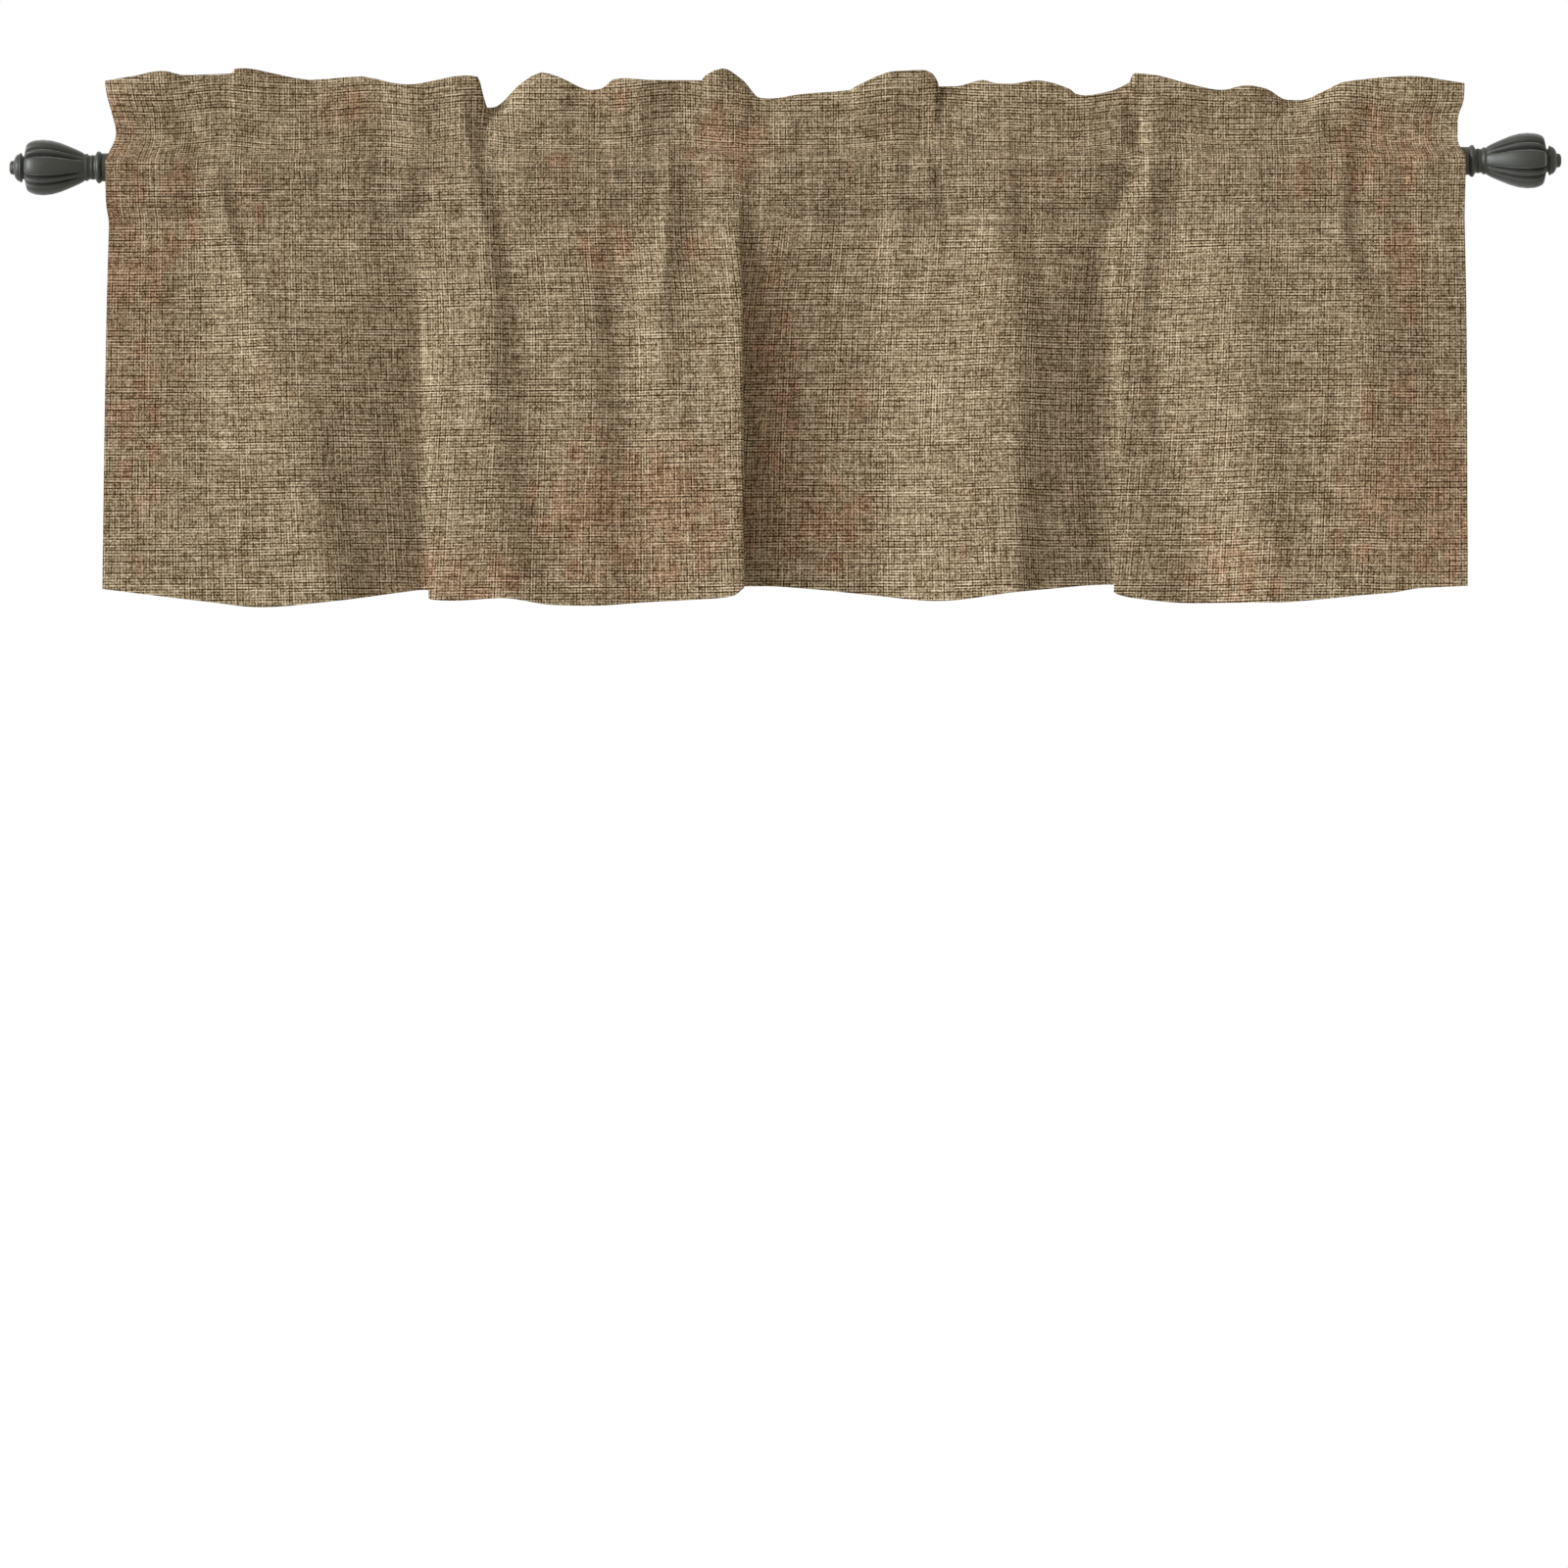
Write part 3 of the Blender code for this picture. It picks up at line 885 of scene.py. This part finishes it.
def sheet_points(at):
    """The whole sheet, with its folds, gathers and creases, for the columns at some places along the hem."""
    rows = main_rows(at)
    places = row_places(rows)
    down = fine_places(rows, places)
    stacked = np.array([row[1] for row in rows])
    points = np.array([flowing(places, stacked, place) for place in down])
    x, forward, z = points[:, 0], points[:, 1], points[:, 2]
    header_front = len(PANEL_ROWS) + 1 + len(POCKET)
    header_back = len(rows) - len(POCKET) - len(SEAM_ROWS) - 1
    seams = Seams(places[len(PANEL_ROWS)], places[header_front], places[header_back], places[-len(SEAM_ROWS)])
    across, up = flat_places(x, forward, z, down, seams)
    share = np.interp(
        down,
        (seams.header_back, seams.header_back + SEAM_FADE, seams.pocket_back - SEAM_FADE, seams.pocket_back),
        (1.0, -BACK_SHARE, -BACK_SHARE, 1.0),
    )
    forward = forward + share[:, None] * (crease_depths(x, z) + ripple_depths(x, z))
    forward, z = off_the_rod(forward, z)
    return Sheet(x, forward, z, across, up, down, seams)


def hem_shares(at, down, seams):
    """Share of the extra thickness at each point: none on one layer, and all of it in the turned hems."""
    from_side = np.minimum(at, at[-1] - at)
    side = 1 - np.clip((from_side - SIDE_HEM) / HEM_EDGE, 0, 1)
    below = np.clip((seams.pocket_front - HEM_EDGE - down) / HEM_EDGE, 0, 1)
    hem = 1 - np.clip((down - HEM_DEPTH) / HEM_EDGE, 0, 1)
    return np.maximum(side[None, :] * below[:, None], hem[:, None])


class Graph:
    """Adds shader nodes to one new material, and gives each input its value or its link."""

    def __init__(self, name):
        self.material = bpy.data.materials.new(name)
        self.material.use_nodes = True
        self.tree = self.material.node_tree
        self.shader = self.tree.nodes["Principled BSDF"]

    def give(self, node, inputs):
        for key, value in inputs.items():
            if isinstance(value, bpy.types.NodeSocket):
                self.tree.links.new(value, node.inputs[key])
            else:
                node.inputs[key].default_value = value

    def add(self, kind, inputs, output=0, **settings):
        node = self.tree.nodes.new(kind)
        for name, value in settings.items():
            setattr(node, name, value)
        self.give(node, inputs)
        return node.outputs[output]

    def maths(self, operation, *values):
        return self.add("ShaderNodeMath", dict(enumerate(values)), operation=operation)

    def vector_maths(self, operation, *values, output=0):
        return self.add("ShaderNodeVectorMath", dict(enumerate(values)), output, operation=operation)

    def vector(self, x, y, z=0.0):
        return self.add("ShaderNodeCombineXYZ", {0: x, 1: y, 2: z})

    def noise(self, at, scale=1.0, detail=1.0):
        return self.add("ShaderNodeTexNoise", {"Vector": at, "Scale": scale, "Detail": detail})

    def ranged(self, value, low, high, start, end, smooth=False):
        inputs = {0: value, 1: low, 2: high, 3: start, 4: end}
        style = "SMOOTHSTEP" if smooth else "LINEAR"
        return self.add("ShaderNodeMapRange", inputs, interpolation_type=style)

    def mixed(self, share, first, second, blend="MIX"):
        inputs = {0: share, 6: first, 7: second}
        return self.add("ShaderNodeMix", inputs, 2, data_type="RGBA", blend_type=blend)

    def bumped(self, height, distance, strength):
        inputs = {"Height": height, "Distance": distance, "Strength": strength}
        return self.add("ShaderNodeBump", inputs)


def opaque(colour):
    """A colour with its alpha."""
    return (*colour, 1.0)


def warm_zones(graph):
    """Strength of the reddish-brown patches at each place of the hanging cloth."""
    place = graph.add("ShaderNodeTexCoord", {}, "Object")
    total = 0.0
    for zone in WARM_ZONES:
        away = graph.vector_maths("SUBTRACT", place, (zone.x * MM, 0, zone.z * MM))
        sizes = (1 / (zone.across * MM), 0, 1 / (zone.down * MM))
        away = graph.vector_maths("MULTIPLY", away, sizes)
        away = graph.vector_maths("LENGTH", away, output=1)
        total = graph.maths("MAXIMUM", total, graph.ranged(away, ZONE_FULL, 1.0, zone.strength, 0.0, True))
    return total


def linen_material(name, settings, pale):
    """Slubby plain weave: yarns both ways with dark gaps between them, pale runs, a painted highlight on the
    top of each yarn float, and blocks of tone.

    With pale set, it is the cloth's unprinted reverse.
    """
    graph = Graph(name)
    place = graph.add("ShaderNodeUVMap", {}, uv_map=CLOTH_MAP)
    place = graph.add("ShaderNodeVectorMath", {0: place, 3: 1 / MM}, operation="SCALE")
    u = graph.add("ShaderNodeSeparateXYZ", {0: place})
    v = u.node.outputs[1]

    def scaled(value, factor):
        return graph.maths("MULTIPLY", value, factor)

    def added(value, factor, total):
        return graph.maths("MULTIPLY_ADD", value, factor, total)

    def counted(value, size):
        return graph.maths("FLOOR", graph.maths("DIVIDE", value, size))

    def smooth(pattern, across, down):
        at = graph.vector(scaled(across, pattern.across), scaled(down, pattern.down), pattern.seed)
        return graph.noise(at)

    def drift(pattern):
        return graph.maths("SUBTRACT", smooth(pattern, u, v), 0.5)

    def run(pattern, across, down):
        height = smooth(pattern, across, down)
        return graph.ranged(height, pattern.start, RUN_END, pattern.least, pattern.most)

    def random(across, down, seed):
        at = graph.vector(across, down, seed)
        return graph.add("ShaderNodeTexWhiteNoise", {"Vector": at}, noise_dimensions="3D")

    def yarns(at, pitch, wander):
        at = graph.maths("DIVIDE", added(wander, YARN_WANDER, at), pitch / MM)
        beside = graph.maths("ABSOLUTE", added(graph.maths("FRACT", at), 2.0, -1.0))
        gap = graph.ranged(beside, GAP_FROM, 1.0, 0.0, 1.0, True)
        crown = graph.ranged(beside, 0.0, CROWN_TO, 1.0, 0.0, True)
        nearest = graph.maths("ROUND", at)
        odd = graph.maths("ABSOLUTE", graph.maths("MODULO", nearest, 2.0))
        gap = scaled(gap, graph.ranged(odd, 0.0, 1.0, 1.0, ODD_YARN_SHARE))
        return graph.maths("FLOOR", at), nearest, gap, crown

    warp, beside_warp, warp_gap, warp_crown = yarns(u, settings.yarn_across, drift(WARP_WANDER))
    weft, beside_weft, weft_gap, weft_crown = yarns(v, settings.yarn_down, drift(WEFT_WANDER))
    gaps = scaled(warp_gap, run(WARP_GAPS, beside_warp, v))
    gaps = graph.maths("ADD", gaps, scaled(weft_gap, run(WEFT_GAPS, u, beside_weft)))
    slubs_and_crown_highlights = scaled(warp_crown, run(WARP_SLUBS, warp, v))
    slubs_and_crown_highlights = graph.maths("ADD", slubs_and_crown_highlights, scaled(weft_crown, run(WEFT_SLUBS, u, weft)))
    # Painted highlight on the top of each yarn float, where both yarns' crowns meet, added to the pale slubs,
    # which are the yarns' own tone
    slubs_and_crown_highlights = added(scaled(warp_crown, weft_crown), PAINTED_CROWN_HIGHLIGHT, slubs_and_crown_highlights)
    lit = graph.maths("ADD", graph.maths("SUBTRACT", MIDDLE_TONE, gaps), slubs_and_crown_highlights)
    cell = graph.maths("SUBTRACT", random(warp, weft, CELL_SEED), 0.5)
    lit = added(cell, CELL_CONTRAST, lit)
    grain = random(counted(u, GRAIN_SIZE), counted(v, GRAIN_SIZE), GRAIN_SEED)
    lit = added(graph.maths("SUBTRACT", grain, 0.5), GRAIN_CONTRAST, lit)
    lit = added(drift(BANDS), BAND_CONTRAST, lit)
    lit = added(drift(BROAD_TONES), BROAD_CONTRAST, lit)
    colour = graph.ranged(lit, 0.0, COMMON_TONE, 0.0, 1.0)
    colour = graph.mixed(colour, opaque(settings.gap_colour), opaque(settings.yarn_colour))
    palest = graph.ranged(lit, COMMON_TONE, SLUB_TONE, 0.0, 1.0)
    colour = graph.mixed(palest, colour, opaque(settings.slub_colour))
    block_across = counted(warp, BLOCK_WARPS)
    block_down = counted(added(random(block_across, 0.5, SHIFT_SEED), BLOCK_WEFTS, weft), BLOCK_WEFTS)
    zone = warm_zones(graph)
    warm = added(zone, ZONE_PULL, random(block_across, block_down, BLOCK_SEED))
    share = graph.ranged(warm, TINTED_FROM, TINTED_TO, 0.0, settings.warm_share)
    share = graph.maths("MAXIMUM", share, scaled(zone, settings.warm_share / 2))
    colour = graph.mixed(share, colour, opaque(settings.warm_colour), "MULTIPLY")
    if pale:
        colour = graph.mixed(settings.reverse_share, colour, opaque(settings.reverse_colour))
    graph.give(
        graph.shader,
        {
            "Base Color": colour,
            "Roughness": settings.roughness,
            "Specular IOR Level": 0.1,
            "Sheen Weight": settings.sheen,
            "Sheen Roughness": 0.5,
            "Normal": graph.bumped(lit, settings.weave_relief, 0.5),
        },
    )
    return graph.material


def thread_material(settings):
    graph = Graph("seam_thread")
    graph.give(
        graph.shader,
        {"Base Color": opaque(settings.colour), "Roughness": 0.7, "Specular IOR Level": 0.3},
    )
    return graph.material


def metal_material(settings):
    """Dark satin metal with a slight unevenness of tone and of its brushed coat."""
    graph = Graph("dark_satin_metal")
    place = graph.add("ShaderNodeTexCoord", {}, "Object")
    fine = graph.noise(place, METAL_GRAIN, 3.0)
    broad = graph.noise(place, METAL_PATCHES, 3.0)
    tone = graph.ranged(broad, *PATCH_NOISE, *PATCH_TONES)
    colour = graph.add("ShaderNodeVectorMath", {0: settings.colour, 3: tone}, operation="SCALE")
    roughness = (settings.roughness + change for change in PATCH_ROUGHNESS)
    graph.give(
        graph.shader,
        {
            "Base Color": colour,
            "Roughness": graph.ranged(broad, *PATCH_NOISE, *roughness),
            "Metallic": settings.metallic,
            "Coat Weight": settings.coat,
            "Coat Roughness": 0.42,
            "Coat IOR": 1.7,
            "Sheen Weight": settings.rim,
            "Sheen Roughness": 0.35,
            "Normal": graph.bumped(fine, METAL_RELIEF, 0.5),
        },
    )
    return graph.material


def floor_material(settings):
    graph = Graph("pale_floor")
    graph.give(graph.shader, {"Base Color": opaque(settings.floor_colour), "Roughness": 0.8})
    return graph.material


def new_piece(name, mesh):
    """An object that rides with the part, shaded smooth but for its sharp edges."""
    mesh.shade_smooth()
    mesh.set_sharp_from_angle(angle=math.radians(SHARP_ANGLE))
    obj = bpy.data.objects.new(name, mesh)
    bpy.context.scene.collection.objects.link(obj)
    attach(obj, "root")
    return obj


def one_layer(at, sheet):
    """The sheet's printed side as an object, with its flat places as UVs and its hems as a vertex group."""
    flat = bmesh.new()
    last_column = len(at) - 1
    last_row = len(sheet.down) - 1
    bmesh.ops.create_grid(flat, x_segments=last_column, y_segments=last_row, size=1.0)
    shares = hem_shares(at, sheet.down, sheet.seams)
    layer = flat.loops.layers.uv.new(CLOTH_MAP)
    weights = flat.verts.layers.deform.new()
    for vert in flat.verts:
        i = round((vert.co.x + 1) / 2 * last_column)
        j = round((vert.co.y + 1) / 2 * last_row)
        vert.co = (sheet.x[j, i] * MM, -sheet.forward[j, i] * MM, sheet.z[j, i] * MM)
        vert[weights][0] = shares[j, i]
        for loop in vert.link_loops:
            loop[layer].uv = (sheet.across[j, i] * MM, sheet.up[j, i] * MM)
    for face in flat.faces:
        face.material_index = HEM_SLOT if min(vert[weights][0] for vert in face.verts) > 0.5 else 0
    mesh = bpy.data.meshes.new("valance_layer")
    flat.to_mesh(mesh)
    flat.free()
    obj = bpy.data.objects.new("valance_layer", mesh)
    bpy.context.scene.collection.objects.link(obj)
    obj.vertex_groups.new(name="hems")
    return obj


class ValanceCloth(bpy.types.PropertyGroup):
    thickness: FloatProperty(
        name="Thickness",
        description="Thickness of one layer of the cloth",
        default=0.0007, unit="LENGTH",
    )
    yarn_across: FloatProperty(
        name="Yarn pitch across",
        description="Width of one upright yarn",
        default=0.0027, unit="LENGTH",
    )
    yarn_down: FloatProperty(
        name="Yarn pitch down", description="Height of one level yarn", default=0.0025, unit="LENGTH"
    )
    weave_relief: FloatProperty(
        name="Weave relief",
        description="Height of the yarns over the gaps",
        default=0.00025, unit="LENGTH",
    )
    gap_colour: FloatVectorProperty(
        name="Gaps",
        description="Colour between the yarns",
        default=(0.036, 0.015, 0.001),
        subtype="COLOR",
    )
    yarn_colour: FloatVectorProperty(
        name="Yarns",
        description="Colour of a common yarn",
        default=(0.28, 0.207, 0.116),
        subtype="COLOR",
    )
    slub_colour: FloatVectorProperty(
        name="Slubs",
        description="Colour of the palest runs of yarn",
        default=(0.7, 0.57, 0.4),
        subtype="COLOR",
    )
    warm_colour: FloatVectorProperty(
        name="Warm tint",
        description="Tint of the reddish-brown patches",
        default=(1.0, 0.82, 0.79),
        subtype="COLOR",
    )
    warm_share: FloatProperty(
        name="Warm share",
        description="Strength of the reddish-brown patches",
        default=0.9,
        subtype="FACTOR",
    )
    reverse_colour: FloatVectorProperty(
        name="Reverse",
        description="Colour of the cloth's unprinted side",
        default=(0.72, 0.68, 0.6),
        subtype="COLOR",
    )
    reverse_share: FloatProperty(
        name="Reverse share",
        description="How far the print is lost on the reverse",
        default=0.8,
        subtype="FACTOR",
    )
    roughness: FloatProperty(
        name="Roughness", description="Roughness of the cloth", default=0.9, subtype="FACTOR"
    )
    sheen: FloatProperty(
        name="Sheen", description="Soft sheen of the yarns' fibres", default=0.02, subtype="FACTOR"
    )


class ValanceStitches(bpy.types.PropertyGroup):
    pitch: FloatProperty(
        name="Pitch", description="Length from one stitch to the next", default=0.0032, unit="LENGTH"
    )
    length: FloatProperty(
        name="Length", description="Length of one stitch", default=0.0025, unit="LENGTH"
    )
    width: FloatProperty(
        name="Width", description="Width of the thread", default=0.0005, unit="LENGTH"
    )
    colour: FloatVectorProperty(
        name="Colour",
        description="Colour of the thread",
        default=(0.36, 0.29, 0.19),
        subtype="COLOR",
    )


class ValanceMetal(bpy.types.PropertyGroup):
    sides: IntProperty(name="Sides", description="Steps of a turned piece round its axis", default=220)
    colour: FloatVectorProperty(
        name="Colour",
        description="Colour of the dark metal",
        default=(0.059, 0.06, 0.049),
        subtype="COLOR",
    )
    roughness: FloatProperty(
        name="Roughness", description="Roughness of the dark metal", default=0.58, subtype="FACTOR"
    )
    metallic: FloatProperty(
        name="Metallic", description="How metallic the coat is", default=0.6, subtype="FACTOR"
    )
    coat: FloatProperty(
        name="Lacquer", description="Strength of the satin lacquer", default=0.3, subtype="FACTOR"
    )
    rim: FloatProperty(
        name="Pale rims",
        description="How far the metal pales where it turns away",
        default=0.6,
        subtype="FACTOR",
    )


class ValanceStage(bpy.types.PropertyGroup):
    floor_drop: FloatProperty(
        name="Floor drop", description="Height of the rod over the floor", default=2.1, unit="LENGTH"
    )
    floor_size: FloatProperty(
        name="Floor size", description="Length of the floor's side", default=17.0, unit="LENGTH"
    )
    floor_colour: FloatVectorProperty(
        name="Floor", description="Colour of the floor", default=(0.62, 0.62, 0.61), subtype="COLOR"
    )
    fill: FloatProperty(name="Fill light", description="Strength of the light from all round", default=0.59)
    fill_colour: FloatVectorProperty(
        name="Fill colour",
        description="Colour of the light from all round",
        default=(1.04, 1.0, 0.94),
        subtype="COLOR",
    )
    key: FloatProperty(name="Key light", description="Strength of the light from the left", default=3.84)
    key_colour: FloatVectorProperty(
        name="Key colour",
        description="Colour of the key light",
        default=(0.93, 1.0, 1.1),
        subtype="COLOR",
    )
    key_softness: FloatProperty(
        name="Key softness",
        description="Angle that the key light fills",
        default=0.6,
        subtype="ANGLE",
    )
    lens: FloatProperty(name="Lens", description="Focal length in millimetres", default=200.0)
    distance: FloatProperty(
        name="Distance",
        description="Distance of the camera from the rod",
        default=7.724, unit="LENGTH",
    )


class VALANCE_OT_cloth(bpy.types.Operator):
    """Build the gathered sheet of cloth with its header, rod pocket, folds and hems"""

    bl_idname = "valance.cloth"
    bl_label = "Cloth"

    def execute(self, context):
        settings = context.scene.valance_cloth
        at = stations()
        layer = one_layer(at, sheet_points(at))
        thickness = layer.modifiers.new("thickness", "SOLIDIFY")
        thickness.thickness = HEM_LAYERS * settings.thickness
        thickness.offset = -1.0
        thickness.use_quality_normals = True
        thickness.vertex_group = "hems"
        thickness.thickness_vertex_group = 1 / HEM_LAYERS
        thickness.material_offset = 1
        printed = linen_material("linen_printed", settings, False)
        for material in (printed, linen_material("linen_reverse", settings, True), printed, printed):
            layer.data.materials.append(material)
        context.view_layer.update()
        graph = context.evaluated_depsgraph_get()
        mesh = bpy.data.meshes.new_from_object(layer.evaluated_get(graph))
        mesh.name = "gathered_cloth"
        bpy.data.objects.remove(layer)
        cloth = new_piece("gathered_cloth", mesh)
        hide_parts("valance_cloth")
        return {"FINISHED"}


def sewn_row(line, settings):
    """A row of small stitches along a line of points, in metres."""
    path = bpy.data.curves.new("seam_line", "CURVE")
    path.dimensions = "3D"
    spline = path.splines.new("POLY")
    spline.points.add(len(line) - 1)
    for point, place in zip(spline.points, line):
        point.co = (*place, 1.0)
    guide = bpy.data.objects.new("seam_line", path)
    stitch = bmesh.new()
    size = (settings.length / 2, settings.width / 2, settings.width / 2, 1.0)
    start = Matrix.Translation((settings.pitch, 0, 0)) @ Matrix.Diagonal(size)
    bmesh.ops.create_uvsphere(
        stitch, u_segments=STITCH_SIDES, v_segments=STITCH_RINGS, radius=1.0, matrix=start
    )
    mesh = bpy.data.meshes.new("stitch")
    stitch.to_mesh(mesh)
    stitch.free()
    row = bpy.data.objects.new("stitch_row", mesh)
    for obj in (guide, row):
        bpy.context.scene.collection.objects.link(obj)
    length = float(np.linalg.norm(np.diff(line, axis=0), axis=1).sum())
    repeat = row.modifiers.new("repeat", "ARRAY")
    repeat.use_relative_offset = False
    repeat.use_constant_offset = True
    repeat.constant_offset_displace = (settings.pitch, 0, 0)
    repeat.count = int(length / settings.pitch) - 2
    follow = row.modifiers.new("follow", "CURVE")
    follow.object = guide
    bpy.context.view_layer.update()
    graph = bpy.context.evaluated_depsgraph_get()
    sewn = bpy.data.meshes.new_from_object(row.evaluated_get(graph))
    for obj in (guide, row):
        bpy.data.objects.remove(obj)
    return sewn


class VALANCE_OT_stitches(bpy.types.Operator):
    """Sew the header's seam and the pocket's seam, with a row of stitches on the front and the back"""

    bl_idname = "valance.stitches"
    bl_label = "Stitches"

    def execute(self, context):
        settings = context.scene.valance_stitches
        sheet = sheet_points(stations())
        sewn = bmesh.new()
        for place in sheet.seams:
            j = int(np.argmin(np.abs(sheet.down - place)))
            line = np.stack([sheet.x[j], -sheet.forward[j], sheet.z[j]], axis=1) * MM
            row = sewn_row(line, settings)
            sewn.from_mesh(row)
            bpy.data.meshes.remove(row)
        mesh = bpy.data.meshes.new("seam_stitches")
        sewn.to_mesh(mesh)
        sewn.free()
        mesh.materials.append(thread_material(settings))
        stitches = new_piece("seam_stitches", mesh)
        return {"FINISHED"}


def flute(angle):
    """Depth that the flutes take from a radius at an angle from the front: petals, grooves and ribs."""
    spacing = 360 / PETALS
    from_petal = abs((math.degrees(angle) + spacing / 2) % spacing - spacing / 2)
    groove_at = spacing / 2 - GROOVE_FROM_RIB
    groove = math.exp(-(((from_petal - groove_at) / GROOVE_HALF_WIDTH) ** 2))
    crown = PETAL_CROWN * min(1.0, from_petal / groove_at) ** 2
    rib = (RIB_DROP - PETAL_CROWN) * max(0.0, (from_petal - groove_at) / GROOVE_FROM_RIB)
    return GROOVE_DEPTH * groove + crown + rib


def turned_mesh(name, profile, sides, hand):
    """A turned and fluted piece at one end of the rod: hand is 1 on the right and -1 on the left."""
    turned = bmesh.new()
    corners = [turned.verts.new((ring.reach, 0.0, ring.radius)) for ring in profile]
    edges = [turned.edges.new(pair) for pair in zip(corners, corners[1:])]
    bmesh.ops.spin(
        turned,
        geom=corners + edges,
        cent=(0, 0, 0),
        axis=(1, 0, 0),
        steps=sides,
        angle=2 * math.pi,
        use_merge=True,
    )
    bmesh.ops.remove_doubles(turned, verts=turned.verts, dist=CLOSING_GAP)
    reach = column(profile, "reach")
    shares = column(profile, "flute")
    for vert in turned.verts:
        share = float(np.interp(vert.co.x, reach, shares))
        factor = 1 - share * flute(math.atan2(vert.co.z, -hand * vert.co.y))
        vert.co.y *= factor
        vert.co.z *= factor
    rims = [edge for edge in turned.edges if edge.is_boundary]
    bmesh.ops.holes_fill(turned, edges=rims, sides=0)
    bmesh.ops.scale(turned, vec=(MM, MM, MM), verts=turned.verts)
    half_turn = Matrix.Rotation(0.0 if hand > 0 else math.pi, 4, "Z")
    move = Matrix.Translation((hand * COLLAR_FACES / 2 * MM, 0, 0)) @ half_turn
    bmesh.ops.transform(turned, matrix=move, verts=turned.verts)
    bmesh.ops.recalc_face_normals(turned, faces=turned.faces)
    mesh = bpy.data.meshes.new(name)
    turned.to_mesh(mesh)
    turned.free()
    return mesh


class VALANCE_OT_metalwork(bpy.types.Operator):
    """Build both collars and fluted finials, and coat the rod with the same dark satin metal"""

    bl_idname = "valance.metalwork"
    bl_label = "Collars and finials"

    def execute(self, context):
        settings = context.scene.valance_metal
        coat = metal_material(settings)
        for side, hand in (("left", -1), ("right", 1)):
            for kind, profile in (("collar", COLLAR), ("finial", FINIAL)):
                mesh = turned_mesh(f"turned_{kind}_{side}", profile, settings.sides, hand)
                mesh.materials.append(coat)
                piece = new_piece(f"turned_{kind}_{side}", mesh)
                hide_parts(f"{kind}_{side}")
        for place in bpy.data.objects["curtain_rod"].material_slots:
            place.material = coat
        return {"FINISHED"}


class VALANCE_OT_stage(bpy.types.Operator):
    """Set the camera, the lights and a pale floor below the hanging valance"""

    bl_idname = "valance.stage"
    bl_label = "Stage"

    def execute(self, context):
        settings = context.scene.valance_stage
        scene = context.scene
        lens = bpy.data.cameras.new("front_camera")
        lens.lens = settings.lens
        lens.sensor_width = SENSOR_WIDTH
        camera = bpy.data.objects.new("front_camera", lens)
        camera.location = (CAMERA_X, -settings.distance, CAMERA_Z)
        camera.rotation_euler = (math.pi / 2, math.radians(CAMERA_ROLL), 0.0)
        scene.collection.objects.link(camera)
        scene.camera = camera

        light = bpy.data.lights.new("key_light", "SUN")
        light.energy = settings.key
        light.color = settings.key_colour
        light.angle = settings.key_softness
        key = bpy.data.objects.new("key_light", light)
        key.rotation_euler = Vector(KEY_FROM).to_track_quat("Z", "Y").to_euler()
        key.location = KEY_FROM
        scene.collection.objects.link(key)

        world = bpy.data.worlds.new("white_room")
        world.use_nodes = True
        tree = world.node_tree
        path = tree.nodes.new("ShaderNodeLightPath")
        seen = tree.nodes.new("ShaderNodeMix")
        seen.data_type = "RGBA"
        seen.inputs[6].default_value = opaque([settings.fill * part for part in settings.fill_colour])
        seen.inputs[7].default_value = opaque(WHITE)
        tree.links.new(path.outputs["Is Camera Ray"], seen.inputs[0])
        tree.links.new(seen.outputs[2], tree.nodes["Background"].inputs["Color"])
        scene.world = world
        scene.view_settings.view_transform = "Standard"

        bpy.ops.mesh.primitive_plane_add(size=settings.floor_size, location=(0, 0, -settings.floor_drop))
        floor = context.active_object
        floor.name = "floor"
        floor.data.materials.append(floor_material(settings))
        return {"FINISHED"}


class VALANCE_PT_pieces(bpy.types.Panel):
    """Lists the pieces and their settings"""

    bl_label = "Rod-pocket valance"
    bl_idname = "VALANCE_PT_pieces"
    bl_space_type = "VIEW_3D"
    bl_region_type = "UI"
    bl_category = "Valance"

    def draw(self, context):
        for group_name, (_, operator) in PIECES.items():
            box = self.layout.box()
            box.operator(operator.bl_idname)
            settings = getattr(context.scene, group_name)
            for name in settings.bl_rna.properties.keys():
                if name not in ("rna_type", "name"):
                    box.prop(settings, name)


PIECES = {
    "valance_cloth": (ValanceCloth, VALANCE_OT_cloth),
    "valance_stitches": (ValanceStitches, VALANCE_OT_stitches),
    "valance_metal": (ValanceMetal, VALANCE_OT_metalwork),
    "valance_stage": (ValanceStage, VALANCE_OT_stage),
}


def register():
    for name, (group, operator) in PIECES.items():
        bpy.utils.register_class(group)
        bpy.utils.register_class(operator)
        setattr(bpy.types.Scene, name, PointerProperty(type=group))
    bpy.utils.register_class(VALANCE_PT_pieces)


def unregister():
    bpy.utils.unregister_class(VALANCE_PT_pieces)
    for name, (group, operator) in PIECES.items():
        delattr(bpy.types.Scene, name)
        bpy.utils.unregister_class(operator)
        bpy.utils.unregister_class(group)


def main():
    register()
    bpy.ops.valance.cloth()
    bpy.ops.valance.stitches()
    bpy.ops.valance.metalwork()
    bpy.ops.valance.stage()


if __name__ == "__main__":
    main()
